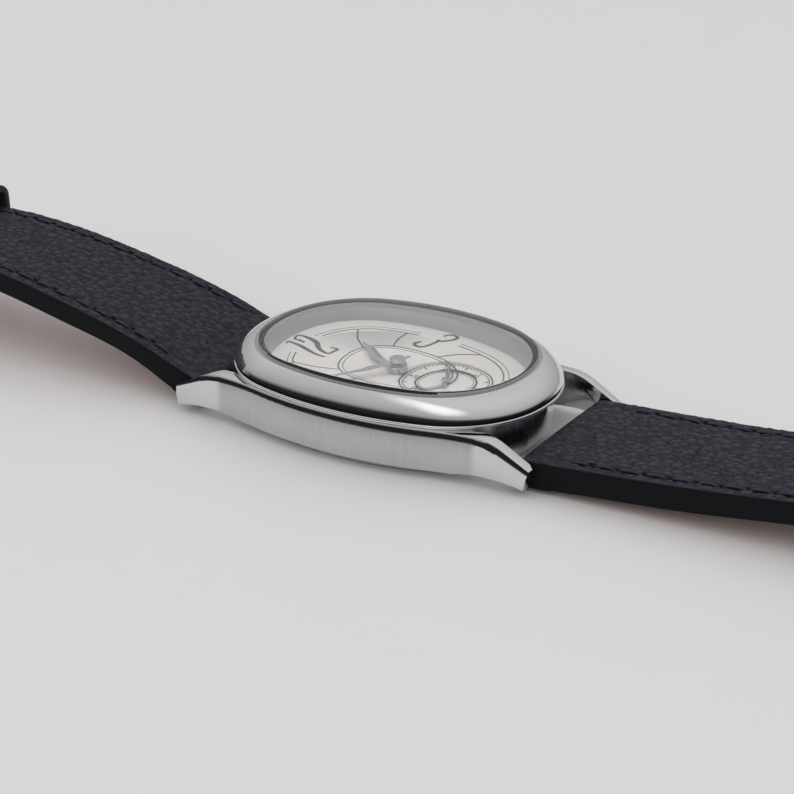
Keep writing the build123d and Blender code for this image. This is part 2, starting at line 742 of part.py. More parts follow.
with BuildPart() as barrel:
    with BuildSketch(Plane.XY.offset(barrel_drum_bottom)):
        with Locations(barrel_place):
            Circle(barrel_drum_radius)
    extrude(amount=barrel_drum_height)
    with BuildSketch(Plane(origin=(*barrel_place, barrel_drum_bottom))):
        toothed(barrel_teeth, barrel_module, bearing(barrel_place, centre_place))
    extrude(amount=barrel_teeth_height)
    with BuildSketch(Plane.XY.offset(barrel_drum_bottom)):
        with Locations(barrel_place):
            Circle(barrel_arbor_radius + running_clearance)
    extrude(amount=barrel_drum_height, mode=Mode.SUBTRACT)
    with BuildSketch(Plane.XY.offset(barrel_drum_bottom + barrel_wall)):
        with Locations(barrel_place):
            Circle(barrel_drum_radius - barrel_wall)
    extrude(amount=barrel_drum_height - 2 * barrel_wall, mode=Mode.SUBTRACT)
barrel.part.label = "barrel"
export_step(barrel.part, "parts/barrel.step")

with BuildPart() as ratchet_wheel:
    with BuildSketch(Plane(origin=(*barrel_place, ratchet_bottom))):
        toothed(ratchet_teeth, ratchet_module, bearing(barrel_place, crown_wheel_place))
        Circle(barrel_arbor_radius, mode=Mode.SUBTRACT)
    extrude(amount=ratchet_thickness)
ratchet_wheel.part.label = "ratchet_wheel"
export_step(ratchet_wheel.part, "parts/ratchet_wheel.step")

with BuildPart() as crown_wheel:
    with BuildSketch(Plane(origin=(*crown_wheel_place, ratchet_bottom))):
        toothed(
            crown_wheel_teeth,
            ratchet_module,
            meeting(bearing(crown_wheel_place, barrel_place), crown_wheel_teeth),
        )
        Circle(crown_wheel_stud_radius + running_clearance, mode=Mode.SUBTRACT)
    extrude(amount=ratchet_thickness)
crown_wheel.part.label = "crown_wheel"
export_step(crown_wheel.part, "parts/crown_wheel.step")

with BuildPart() as centre_wheel:
    with BuildSketch(Plane.XY.offset(centre_wheel_bottom)):
        toothed(centre_teeth, centre_module, bearing(centre_place, third_place))
    extrude(amount=wheel_thickness)
    with BuildSketch(Plane.XY.offset(centre_wheel_bottom + wheel_thickness)):
        toothed(
            centre_pinion_teeth,
            barrel_module,
            meeting(bearing(centre_place, barrel_place), centre_pinion_teeth),
        )
    extrude(amount=centre_pinion_height)
    with BuildSketch(Plane.XY.offset(pivot_bottom)):
        Circle(pivot_radius)
    extrude(amount=pivot_top - pivot_bottom)
    with BuildSketch(Plane.XY.offset(centre_wheel_bottom)):
        Circle(centre_arbor_radius)
    extrude(amount=centre_arbor_top - centre_wheel_bottom)
centre_wheel.part.label = "centre_wheel"
export_step(centre_wheel.part, "parts/centre_wheel.step")

with BuildPart() as third_wheel:
    with BuildSketch(Plane(origin=(*third_place, third_pinion_bottom))):
        toothed(
            third_pinion_teeth,
            centre_module,
            meeting(bearing(third_place, centre_place), third_pinion_teeth),
        )
    extrude(amount=third_pinion_height)
    with BuildSketch(Plane(origin=(*third_place, third_wheel_bottom))):
        toothed(third_teeth, third_module, bearing(third_place, fourth_place))
    extrude(amount=wheel_thickness)
    with BuildSketch(Plane(origin=(*third_place, pivot_bottom))):
        Circle(pivot_radius)
    extrude(amount=pivot_top - pivot_bottom)
third_wheel.part.label = "third_wheel"
export_step(third_wheel.part, "parts/third_wheel.step")

with BuildPart() as seconds_wheel:
    with BuildSketch(Plane(origin=(*fourth_place, fourth_wheel_bottom))):
        toothed(fourth_teeth, fourth_module, bearing(fourth_place, escape_place))
    extrude(amount=wheel_thickness)
    with BuildSketch(Plane(origin=(*fourth_place, fourth_wheel_bottom + wheel_thickness))):
        toothed(
            fourth_pinion_teeth,
            third_module,
            meeting(bearing(fourth_place, third_place), fourth_pinion_teeth),
        )
    extrude(amount=fourth_pinion_height)
    with BuildSketch(Plane(origin=(*fourth_place, pivot_bottom))):
        Circle(pivot_radius)
    extrude(amount=pivot_top - pivot_bottom)
    with BuildSketch(Plane(origin=(*fourth_place, fourth_wheel_bottom))):
        Circle(seconds_arbor_radius)
    extrude(amount=seconds_arbor_top - fourth_wheel_bottom)
seconds_wheel.part.label = "seconds_wheel"
export_step(seconds_wheel.part, "parts/seconds_wheel.step")

# Escapement: escape wheel, pallet fork and balance
stone_reach = 2.2
stone_spread = 30.0
pallet_arm_width = 0.22
pallet_hub_radius = 0.35
pallet_pivot_bottom = 2.95
fork_to_staff = 1.05
balance_rim_width = 0.4
balance_rim_bottom = 2.5
balance_rim_height = 0.35
balance_arm_width = 0.4
balance_hub_radius = 0.5
roller_radius = 0.6
roller_bottom = 3.0
roller_height = 0.15

with BuildPart() as escape_wheel:
    with BuildSketch(Plane(origin=(*escape_place, escape_wheel_bottom))):
        toothed(escape_teeth, escape_module, bearing(escape_place, pallet_place))
    extrude(amount=escape_thickness)
    with BuildSketch(Plane(origin=(*escape_place, fourth_wheel_bottom))):
        toothed(
            escape_pinion_teeth,
            fourth_module,
            meeting(bearing(escape_place, fourth_place), escape_pinion_teeth),
        )
    extrude(amount=escape_wheel_bottom - fourth_wheel_bottom)
    with BuildSketch(Plane(origin=(*escape_place, pivot_bottom))):
        Circle(pivot_radius)
    extrude(amount=pivot_top - pivot_bottom)
escape_wheel.part.label = "escape_wheel"
export_step(escape_wheel.part, "parts/escape_wheel.step")


def arm(start, end):
    """Fill an arm between two places."""
    with Locations(((start[0] + end[0]) / 2, (start[1] + end[1]) / 2)):
        reach = hypot(end[0] - start[0], end[1] - start[1])
        Rectangle(reach, pallet_arm_width, rotation=bearing(start, end))


pallet_angle = bearing(escape_place, pallet_place)
stone_places = [
    tuple(escape_place[i] + along_angle(pallet_angle + side * stone_spread, stone_reach)[i] for i in (0, 1))
    for side in (1, -1)
]
fork_reach = hypot(balance_place[0] - pallet_place[0], balance_place[1] - pallet_place[1]) - fork_to_staff
fork_step = along_angle(bearing(pallet_place, balance_place), fork_reach)
fork_end = (pallet_place[0] + fork_step[0], pallet_place[1] + fork_step[1])

with BuildPart() as pallet_fork:
    with BuildSketch(Plane.XY.offset(escape_wheel_bottom)):
        with Locations(pallet_place):
            pin(pallet_hub_radius)
        arm(pallet_place, fork_end)
        for stone_place in stone_places:
            arm(pallet_place, stone_place)
    extrude(amount=escape_thickness)
    with BuildSketch(Plane(origin=(*pallet_place, pallet_pivot_bottom))):
        Circle(pivot_radius)
    extrude(amount=pivot_top - pallet_pivot_bottom)
pallet_fork.part.label = "pallet_fork"
export_step(pallet_fork.part, "parts/pallet_fork.step")

with BuildPart() as balance_wheel:
    with BuildSketch(Plane(origin=(*balance_place, balance_rim_bottom))):
        Circle(balance_radius)
        Circle(balance_radius - balance_rim_width, mode=Mode.SUBTRACT)
        Rectangle(2 * balance_radius - balance_rim_width, balance_arm_width)
        Circle(balance_hub_radius)
    extrude(amount=balance_rim_height)
    with BuildSketch(Plane(origin=(*balance_place, roller_bottom))):
        pin(roller_radius)
    extrude(amount=roller_height)
    with BuildSketch(Plane(origin=(*balance_place, pivot_bottom))):
        Circle(pivot_radius)
    extrude(amount=pivot_top - pivot_bottom)
balance_wheel.part.label = "balance_wheel"
export_step(balance_wheel.part, "parts/balance_wheel.step")

# Motion work: cannon pinion, minute wheel and hour wheel
cannon_bottom = 4.35
cannon_teeth_height = 0.23
cannon_tube_radius = 0.5
cannon_tube_top = 6.6
hour_wheel_bottom = 4.62
hour_wheel_thickness = 0.18
hour_tube_radius = 0.8
hour_tube_top = 6.15
minute_wheel_bottom = 4.38
minute_wheel_thickness = 0.18
minute_pinion_top = 4.83

with BuildPart() as cannon_pinion:
    with BuildSketch(Plane.XY.offset(cannon_bottom)):
        toothed(
            motion_teeth_small,
            motion_module,
            meeting(bearing(centre_place, minute_wheel_place), motion_teeth_small),
        )
    extrude(amount=cannon_teeth_height)
    with BuildSketch(Plane.XY.offset(cannon_bottom)):
        Circle(cannon_tube_radius)
    extrude(amount=cannon_tube_top - cannon_bottom)
    with BuildSketch(Plane.XY.offset(cannon_bottom)):
        Circle(centre_arbor_radius)
    extrude(amount=centre_arbor_top - cannon_bottom, mode=Mode.SUBTRACT)
cannon_pinion.part.label = "cannon_pinion"
export_step(cannon_pinion.part, "parts/cannon_pinion.step")

with BuildPart() as minute_wheel:
    with BuildSketch(Plane(origin=(*minute_wheel_place, minute_wheel_bottom))):
        toothed(motion_teeth_large, motion_module, bearing(minute_wheel_place, centre_place))
    extrude(amount=minute_wheel_thickness)
    with BuildSketch(Plane(origin=(*minute_wheel_place, minute_wheel_bottom))):
        toothed(
            hour_pinion_teeth,
            hour_module,
            meeting(bearing(minute_wheel_place, centre_place), hour_pinion_teeth),
        )
    extrude(amount=minute_pinion_top - minute_wheel_bottom)
    with BuildSketch(Plane(origin=(*minute_wheel_place, minute_wheel_bottom))):
        Circle(minute_stud_radius + running_clearance)
    extrude(amount=minute_pinion_top, mode=Mode.SUBTRACT)
minute_wheel.part.label = "minute_wheel"
export_step(minute_wheel.part, "parts/minute_wheel.step")

with BuildPart() as hour_wheel:
    with BuildSketch(Plane.XY.offset(hour_wheel_bottom)):
        toothed(hour_teeth, hour_module, bearing(centre_place, minute_wheel_place))
    extrude(amount=hour_wheel_thickness)
    with BuildSketch(Plane.XY.offset(hour_wheel_bottom)):
        Circle(hour_tube_radius)
    extrude(amount=hour_tube_top - hour_wheel_bottom)
    with BuildSketch(Plane.XY.offset(hour_wheel_bottom)):
        Circle(cannon_tube_radius + running_clearance)
    extrude(amount=hour_tube_top, mode=Mode.SUBTRACT)
hour_wheel.part.label = "hour_wheel"
export_step(hour_wheel.part, "parts/hour_wheel.step")

# Hands, set to eleven minutes before one
minute_hand_angle = 296.0
hour_hand_angle = minute_hand_angle / 12
seconds_hand_angle = 66.0
hour_hand_length = 5.6
hour_hand_width = 1.0
hour_hub_radius = 1.15
minute_hand_length = 9.4
minute_hand_width = 0.8
minute_hub_radius = 0.95
seconds_hand_length = 3.4
seconds_hand_tail = 1.6
seconds_hand_width = 0.4
seconds_hub_radius = 0.45
hand_thickness = 0.15
seconds_hand_bottom = 5.77
swell_share = 0.45


def leaf(length, width, angle):
    """Fill a slim leaf from the middle outwards, clockwise from twelve o'clock."""
    heading = 90 - angle
    tip = along_angle(heading, length)
    swell = along_angle(heading, swell_share * length)
    side = along_angle(heading + 90, width / 2)
    with BuildLine(Plane.XY) as outline:
        ThreePointArc((0, 0), (swell[0] + side[0], swell[1] + side[1]), tip)
        ThreePointArc((0, 0), (swell[0] - side[0], swell[1] - side[1]), tip)
    make_face(outline.edges())


with BuildPart() as hour_hand:
    with BuildSketch(Plane.XY.offset(hour_tube_top - hand_thickness)):
        leaf(hour_hand_length, hour_hand_width, hour_hand_angle)
        Circle(hour_hub_radius)
        Circle(hour_tube_radius, mode=Mode.SUBTRACT)
    extrude(amount=hand_thickness)
hour_hand.part.label = "hour_hand"
export_step(hour_hand.part, "parts/hour_hand.step")

with BuildPart() as minute_hand:
    with BuildSketch(Plane.XY.offset(cannon_tube_top - hand_thickness)):
        leaf(minute_hand_length, minute_hand_width, minute_hand_angle)
        Circle(minute_hub_radius)
        Circle(cannon_tube_radius, mode=Mode.SUBTRACT)
    extrude(amount=hand_thickness)
minute_hand.part.label = "minute_hand"
export_step(minute_hand.part, "parts/minute_hand.step")

with BuildPart() as seconds_hand:
    with BuildSketch(Plane(origin=(*fourth_place, seconds_hand_bottom))):
        leaf(seconds_hand_length, seconds_hand_width, seconds_hand_angle)
        leaf(seconds_hand_tail, seconds_hand_width, seconds_hand_angle + 180)
        Circle(seconds_hub_radius)
        Circle(seconds_arbor_radius, mode=Mode.SUBTRACT)
    extrude(amount=hand_thickness)
seconds_hand.part.label = "seconds_hand"
export_step(seconds_hand.part, "parts/seconds_hand.step")

# Crown, stem and the two pinions on it
crown_start = 14.85
crown_length = 3.35
crown_radius = 2.6
crown_shoulder = 0.4
crown_cavity_radius = 1.3
crown_cavity_depth = 1.75
crown_stem_depth = 0.8
crown_tube_reach = 16.2
flute_count = 20
flute_depth = 0.2
stem_radius = 0.45
stem_square_width = 0.62
stem_square_end = 7.3
stem_square_start = 5.3
stem_tip = 4.15
pinion_bore_gap = 0.05
sliding_pinion_start = 5.9
sliding_pinion_length = 1.3
sliding_pinion_teeth, sliding_module = 10, 0.15
winding_pinion_teeth = 10
winding_pinion_start = 7.5
winding_pinion_length = 1.4


def stem_plane(x):
    """Give the plane across the stem at a distance from the middle."""
    return Plane(origin=(x, 0, stem_height), x_dir=(0, 1, 0), z_dir=(1, 0, 0))


with BuildPart() as crown_tube:
    with BuildSketch(stem_plane(cavity_half_x)):
        Circle(crown_tube_radius)
        Circle(crown_tube_bore, mode=Mode.SUBTRACT)
    extrude(amount=crown_tube_reach - cavity_half_x)
crown_tube.part.label = "crown_tube"
export_step(crown_tube.part, "parts/crown_tube.step")

with BuildPart() as crown:
    with BuildSketch(stem_plane(crown_start)):
        Circle(crown_radius - flute_depth)
    extrude(amount=crown_length)
    with BuildSketch(stem_plane(crown_start)):
        zigzag(flute_count, crown_radius, crown_radius - flute_depth, 0)
    extrude(amount=crown_length - crown_shoulder)
    with BuildSketch(stem_plane(crown_start)):
        Circle(crown_cavity_radius)
    extrude(amount=crown_cavity_depth, mode=Mode.SUBTRACT)
    with BuildSketch(stem_plane(crown_start)):
        Circle(stem_radius)
    extrude(amount=crown_cavity_depth + crown_stem_depth, mode=Mode.SUBTRACT)
crown.part.label = "crown"
export_step(crown.part, "parts/crown.step")

with BuildPart() as winding_stem:
    with BuildSketch(stem_plane(stem_square_end)):
        Circle(stem_radius)
    extrude(amount=crown_start + crown_cavity_depth + crown_stem_depth - stem_square_end)
    with BuildSketch(stem_plane(stem_square_start)):
        Rectangle(stem_square_width, stem_square_width)
    extrude(amount=stem_square_end - stem_square_start)
    with BuildSketch(stem_plane(stem_tip)):
        Circle(stem_pivot_radius)
    extrude(amount=stem_square_start - stem_tip)
winding_stem.part.label = "winding_stem"
export_step(winding_stem.part, "parts/winding_stem.step")

with BuildPart() as sliding_pinion:
    with BuildSketch(stem_plane(sliding_pinion_start)):
        toothed(sliding_pinion_teeth, sliding_module, 0)
        Rectangle(
            stem_square_width + pinion_bore_gap, stem_square_width + pinion_bore_gap, mode=Mode.SUBTRACT
        )
    extrude(amount=sliding_pinion_length)
sliding_pinion.part.label = "sliding_pinion"
export_step(sliding_pinion.part, "parts/sliding_pinion.step")

with BuildPart() as winding_pinion:
    with BuildSketch(stem_plane(winding_pinion_start)):
        toothed(winding_pinion_teeth, ratchet_module, 0)
        Circle(stem_radius + pinion_bore_gap, mode=Mode.SUBTRACT)
    extrude(amount=winding_pinion_length)
winding_pinion.part.label = "winding_pinion"
export_step(winding_pinion.part, "parts/winding_pinion.step")

# Springs: the mainspring in the barrel and the fine spring under the balance
mainspring_gap = 0.05
mainspring_inner, mainspring_outer = 0.9, 3.9
mainspring_turns = 3
mainspring_width = 0.14
balance_spring_inner, balance_spring_outer = 0.35, 2.2
balance_spring_turns = 3
balance_spring_width = 0.08
balance_spring_bottom = 2.39
balance_spring_height = 0.07
steps_per_turn = 10


def coil(inner, outer, turns, width):
    """Fill a flat spiral strip."""
    steps = turns * steps_per_turn
    middles = [(step * 360 / steps_per_turn, inner + (outer - inner) * step / steps) for step in range(steps + 1)]
    outside = [along_angle(angle, reach + width / 2) for angle, reach in middles]
    inside = [along_angle(angle, reach - width / 2) for angle, reach in middles]
    with BuildLine(Plane.XY) as outline:
        Polyline(*outside, *reversed(inside), close=True)
    make_face(outline.edges())


with BuildPart() as mainspring:
    with BuildSketch(Plane(origin=(*barrel_place, barrel_drum_bottom + barrel_wall + mainspring_gap))):
        coil(mainspring_inner, mainspring_outer, mainspring_turns, mainspring_width)
    extrude(amount=barrel_drum_height - 2 * (barrel_wall + mainspring_gap))
mainspring.part.label = "mainspring"
export_step(mainspring.part, "parts/mainspring.step")

with BuildPart() as balance_spring:
    with BuildSketch(Plane(origin=(*balance_place, balance_spring_bottom))):
        coil(balance_spring_inner, balance_spring_outer, balance_spring_turns, balance_spring_width)
    extrude(amount=balance_spring_height)
balance_spring.part.label = "balance_spring"
export_step(balance_spring.part, "parts/balance_spring.step")

# Spring bars between the lugs
bar_end_gap = 0.2
bar_pin_gap = 0.05

with BuildPart() as lug_spring_bars:
    with BuildSketch(Plane.YZ):
        with Locations((bar_y, bar_z), (-bar_y, bar_z)):
            Circle(bar_tube_radius)
    extrude(amount=lug_gap_half_x - bar_end_gap, both=True)
    with BuildSketch(Plane.YZ):
        with Locations((bar_y, bar_z), (-bar_y, bar_z)):
            pin(bar_pin_radius)
    extrude(amount=lug_gap_half_x + bar_pin_depth - bar_pin_gap, both=True)
lug_spring_bars.part.label = "lug_spring_bars"
export_step(lug_spring_bars.part, "parts/lug_spring_bars.step")

# Strap: two leather halves with a lining each, drawn from the side as they lie on the table
strap_half_width = strap_width / 2 - strap_side_gap
strap_middle_taper, strap_end_taper = 0.6, 1.85
strap_middle_half_width = strap_half_width - strap_middle_taper
strap_end_half_width = strap_half_width - strap_end_taper
strap_nose_radius = 1.6
taper_start, taper_middle, taper_end = 27.0, 50.0, 90.0
lining_thickness = 0.7
lining_start = 25.5
tail_top_line = ((30, 4.1), (40, 4.75), (54, 6.1), (66, 6.9), (80, 6.7), (95, 5.2), (110, 3.3), (125, 2.45))
tail_bottom_line = (
    (30, 1.0),
    (40, 1.75),
    (54, 3.35),
    (66, 4.25),
    (80, 4.15),
    (95, 2.75),
    (110, 0.95),
    (125, 0.12),
)
tail_end = 140.0
tail_end_thickness = 2.35
tail_point_start = 130.0
tail_slope = 0.07
short_slope = 0.36
short_end_slope = -0.5
tail_point_middle = (5.4, 136.6)
hole_radius = 0.9
hole_pitch = 6.5
hole_count = 7
last_hole = 115.0
buckle_y = 93.0
buckle_z = 1.45
buckle_nose_radius = 1.4
buckle_bar_radius = 0.7
buckle_pin_radius = 0.45
short_top_line = (
    (30, 6.45),
    (41, 9.2),
    (52, 11.2),
    (60, 12.0),
    (67, 12.05),
    (75, 10.75),
    (83, 7.9),
    (89, 4.9),
)
short_bottom_line = (
    (30, 3.65),
    (41, 6.45),
    (52, 8.5),
    (60, 9.35),
    (67, 9.4),
    (75, 8.15),
    (81, 6.1),
    (87.5, 2.8),
)
short_lining_end = 85.0
tail_lining_end = 139.0
tongue_slot_width = 2.7
tongue_slot_start = 90.3


def on_nose(centre, radius, slope, side):
    """Give the point of a nose circle above (1), below (-1) or in front (0) of a sloping strap."""
    turn = atan2(slope, 1)
    if side == 0:
        return centre[0] - radius * cos(turn), centre[1] - radius * sin(turn)
    return centre[0] - side * radius * sin(turn), centre[1] + side * radius * cos(turn)


bar_place = (bar_y, bar_z)
buckle_place = (buckle_y, buckle_z)
tail_corners = ((tail_end, tail_end_thickness), (tail_end, 0))
short_corners = (
    on_nose(buckle_place, buckle_nose_radius, short_end_slope, 1),
    on_nose(buckle_place, buckle_nose_radius, short_end_slope, -1),
)
short_nose_end = on_nose(buckle_place, -buckle_nose_radius, short_end_slope, 0)


def strap_edge(line, side, slope, corner, end_slope, rise):
    """Draw one long edge of the side view and give it back."""
    start = on_nose(bar_place, strap_nose_radius, slope, side)
    places = [start, *line, corner]
    return Spline(
        *[(place[0], place[1] + rise) for place in places], tangents=((1, slope), (1, end_slope))
    )


def side_view(top, bottom, slope, corners, end_slope, nose_end):
    """Fill the side view of a strap half, with its nose round the spring bar."""
    with BuildLine(Plane.XY) as outline:
        upper = strap_edge(top, 1, slope, corners[0], end_slope, 0)
        lower = strap_edge(bottom, -1, slope, corners[1], end_slope, 0)
        ThreePointArc(lower @ 0, on_nose(bar_place, strap_nose_radius, slope, 0), upper @ 0)
        if nose_end:
            ThreePointArc(upper @ 1, nose_end, lower @ 1)
        else:
            Line(upper @ 1, lower @ 1)
    make_face(outline.edges())


def lining_view(bottom, slope, corner, end_slope):
    """Fill the side view of the band that the lining takes under a strap half."""
    with BuildLine(Plane.XY) as outline:
        lower = strap_edge(bottom, -1, slope, corner, end_slope, 0)
        upper = strap_edge(bottom, -1, slope, corner, end_slope, lining_thickness)
        Line(lower @ 0, upper @ 0)
        Line(lower @ 1, upper @ 1)
    make_face(outline.edges())


def strap_plan(near, far, pointed):
    """Fill the plan of a strap half, which tapers away from the case."""
    middles = ((strap_half_width, taper_start), (strap_middle_half_width, taper_middle))
    with BuildLine(Plane.XY) as outline:
        Line((-strap_half_width, near), (strap_half_width, near))
        for sx in (1, -1):
            Polyline(
                (sx * strap_half_width, near),
                *[(sx * place[0], place[1]) for place in middles if place[1] > near],
                *[(sx * strap_end_half_width, y) for y in (taper_end, far) if y <= far],
            )
            if pointed:
                ThreePointArc(
                    (sx * strap_end_half_width, far),
                    (sx * tail_point_middle[0], tail_point_middle[1]),
                    (0, tail_end),
                )
        if not pointed:
            Line((-strap_end_half_width, far), (strap_end_half_width, far))
    make_face(outline.edges())


strap_near = bar_y - strap_nose_radius - overrun
strap_height = 20.0
twelve_side = Plane.YZ
twelve_plan = Plane.XY.offset(-overrun)
six_side = Plane(origin=(0, 0, 0), x_dir=(0, -1, 0), z_dir=(-1, 0, 0))
six_plan = Plane(origin=(0, 0, -overrun), x_dir=(-1, 0, 0), z_dir=(0, 0, 1))

with BuildPart() as strap_six_lining:
    with BuildSketch(six_side):
        lining_view(tail_bottom_line, tail_slope, tail_corners[1], 0)
    extrude(amount=strap_half_width + overrun, both=True)
    with BuildSketch(six_plan):
        strap_plan(lining_start, tail_point_start, True)
    extrude(amount=strap_height, mode=Mode.INTERSECT)
    with BuildSketch(six_plan):
        with Locations(*[(0, last_hole - hole_pitch * index) for index in range(hole_count)]):
            pin(hole_radius)
    extrude(amount=strap_height, mode=Mode.SUBTRACT)
strap_six_lining.part.label = "strap_six_lining"
export_step(strap_six_lining.part, "parts/strap_six_lining.step")

with BuildPart() as strap_six_leather:
    with BuildSketch(six_side):
        side_view(tail_top_line, tail_bottom_line, tail_slope, tail_corners, 0, None)
    extrude(amount=strap_half_width + overrun, both=True)
    with BuildSketch(six_plan):
        strap_plan(strap_near, tail_point_start, True)
    extrude(amount=strap_height, mode=Mode.INTERSECT)
    add(strap_six_lining.part, mode=Mode.SUBTRACT)
    with BuildSketch(six_plan):
        with Locations(*[(0, last_hole - hole_pitch * index) for index in range(hole_count)]):
            pin(hole_radius)
    extrude(amount=strap_height, mode=Mode.SUBTRACT)
    with BuildSketch(six_side):
        with Locations(bar_place):
            Circle(bar_tube_radius + running_clearance)
    extrude(amount=strap_half_width + overrun, both=True, mode=Mode.SUBTRACT)
strap_six_leather.part.label = "strap_six_leather"
export_step(strap_six_leather.part, "parts/strap_six_leather.step")

with BuildPart() as strap_twelve_lining:
    with BuildSketch(twelve_side):
        lining_view(short_bottom_line, short_slope, short_corners[1], short_end_slope)
    extrude(amount=strap_half_width + overrun, both=True)
    with BuildSketch(twelve_plan):
        strap_plan(lining_start, short_lining_end, False)
    extrude(amount=strap_height, mode=Mode.INTERSECT)
strap_twelve_lining.part.label = "strap_twelve_lining"
export_step(strap_twelve_lining.part, "parts/strap_twelve_lining.step")

with BuildPart() as strap_twelve_leather:
    with BuildSketch(twelve_side):
        side_view(
            short_top_line, short_bottom_line, short_slope, short_corners, short_end_slope, short_nose_end
        )
    extrude(amount=strap_half_width + overrun, both=True)
    with BuildSketch(twelve_plan):
        strap_plan(strap_near, buckle_y + buckle_nose_radius + overrun, False)
    extrude(amount=strap_height, mode=Mode.INTERSECT)
    add(strap_twelve_lining.part, mode=Mode.SUBTRACT)
    with BuildSketch(twelve_side):
        with Locations(bar_place):
            Circle(bar_tube_radius + running_clearance)
        with Locations(buckle_place):
            Circle(buckle_bar_radius + running_clearance)
    extrude(amount=strap_half_width + overrun, both=True, mode=Mode.SUBTRACT)
    with BuildSketch(twelve_plan):
        with Locations((0, tongue_slot_start + buckle_nose_radius + overrun)):
            Rectangle(tongue_slot_width, 2 * (buckle_nose_radius + overrun))
    extrude(amount=strap_height, mode=Mode.SUBTRACT)
strap_twelve_leather.part.label = "strap_twelve_leather"
export_step(strap_twelve_leather.part, "parts/strap_twelve_leather.step")

# Two keepers round the strap near the buckle, one stitched down and one free to slide
keeper_wall = 1.0
keeper_width = 4.5
keeper_corner = 0.6
keeper_height = 5.1


def keeper_plane(place, slope):
    """Give the plane across the strap at a place of its side view."""
    turn = atan2(slope, 1)
    return Plane(origin=(0, *place), x_dir=(1, 0, 0), z_dir=(0, -cos(turn), -sin(turn)))


def keeper_ring(half_width):
    """Fill the ring of a keeper."""
    RectangleRounded(2 * (half_width + keeper_wall), keeper_height + 2 * keeper_wall, keeper_corner + keeper_wall)
    RectangleRounded(2 * half_width, keeper_height, keeper_corner, mode=Mode.SUBTRACT)


sliding_keeper_place = (68.0, 11.2)
sliding_keeper_slope = -0.07
sliding_keeper_ease, fixed_keeper_ease = 1.15, 0.5
sliding_keeper_half_width = strap_end_half_width + sliding_keeper_ease
fixed_keeper_place = (82.0, 7.7)
fixed_keeper_slope = -0.46
fixed_keeper_half_width = strap_end_half_width + fixed_keeper_ease

with BuildPart() as sliding_keeper:
    with BuildSketch(keeper_plane(sliding_keeper_place, sliding_keeper_slope)):
        keeper_ring(sliding_keeper_half_width)
    extrude(amount=keeper_width / 2, both=True)
sliding_keeper.part.label = "sliding_keeper"
export_step(sliding_keeper.part, "parts/sliding_keeper.step")

with BuildPart() as fixed_keeper:
    with BuildSketch(keeper_plane(fixed_keeper_place, fixed_keeper_slope)):
        keeper_ring(fixed_keeper_half_width)
    extrude(amount=keeper_width / 2, both=True)
fixed_keeper.part.label = "fixed_keeper"
export_step(fixed_keeper.part, "parts/fixed_keeper.step")

# Buckle: a frame open towards the strap, its spring bar and the tongue
arm_ease, arm_width = 0.2, 1.8
arm_inner = strap_end_half_width + arm_ease
frame_half_width = arm_inner + arm_width
frame_height = 1.75
frame_inner_end = 99.5
frame_outer_end = 102.3
frame_corner = 2.2
arm_end_radius = 1.35
buckle_bar_gap = 0.1
buckle_pin_inset = 0.4
buckle_pin_reach = frame_half_width - buckle_pin_inset
tongue_half_width = 0.6
tongue_notch_half_width = 0.8
tongue_barrel_half_width = 1.15
tongue_barrel_radius = 1.22
tongue_line = ((93.3, 1.85), (102.9, 1.85), (102.9, 2.35), (102.3, 2.75), (93.3, 2.67))

with BuildPart() as buckle_frame:
    with BuildSketch(Plane.YZ):
        with Locations(buckle_place):
            Circle(arm_end_radius)
        with Locations(((frame_inner_end + frame_outer_end) / 2, frame_height / 2)):
            Rectangle(frame_outer_end - frame_inner_end, frame_height)
        make_hull()
    extrude(amount=frame_half_width, both=True)
    fillet(buckle_frame.edges().filter_by(Axis.Z).group_by(Axis.Y)[-1], frame_corner)
    with BuildSketch():
        with Locations((0, frame_inner_end - buckle_y / 2)):
            Rectangle(2 * arm_inner, buckle_y)
    extrude(amount=strap_height, mode=Mode.SUBTRACT)
    with BuildSketch(Plane.XY.offset(frame_height)):
        with Locations((0, frame_outer_end)):
            Rectangle(2 * tongue_notch_half_width, buckle_y - bar_y)
    extrude(amount=strap_height, mode=Mode.SUBTRACT)
    with BuildSketch(Plane.YZ):
        with Locations(buckle_place):
            pin(buckle_pin_radius + pin_clearance)
    extrude(amount=frame_half_width, both=True, mode=Mode.SUBTRACT)
buckle_frame.part.label = "buckle_frame"
export_step(buckle_frame.part, "parts/buckle_frame.step")

with BuildPart() as buckle_bar:
    with BuildSketch(Plane.YZ):
        with Locations(buckle_place):
            Circle(buckle_bar_radius)
    extrude(amount=arm_inner - buckle_bar_gap, both=True)
    with BuildSketch(Plane.YZ):
        with Locations(buckle_place):
            pin(buckle_pin_radius)
    extrude(amount=buckle_pin_reach, both=True)
buckle_bar.part.label = "buckle_bar"
export_step(buckle_bar.part, "parts/buckle_bar.step")

with BuildPart() as buckle_tongue:
    with BuildSketch(Plane.YZ):
        Polygon(*tongue_line, align=None)
    extrude(amount=tongue_half_width, both=True)
    with BuildSketch(Plane.YZ):
        with Locations(buckle_place):
            Circle(tongue_barrel_radius)
    extrude(amount=tongue_barrel_half_width, both=True)
    with BuildSketch(Plane.YZ):
        with Locations(buckle_place):
            Circle(buckle_bar_radius + running_clearance)
    extrude(amount=tongue_barrel_half_width, both=True, mode=Mode.SUBTRACT)
buckle_tongue.part.label = "buckle_tongue"
export_step(buckle_tongue.part, "parts/buckle_tongue.step")
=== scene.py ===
"""An oval steel wristwatch with its leather strap laid open on a pale table."""

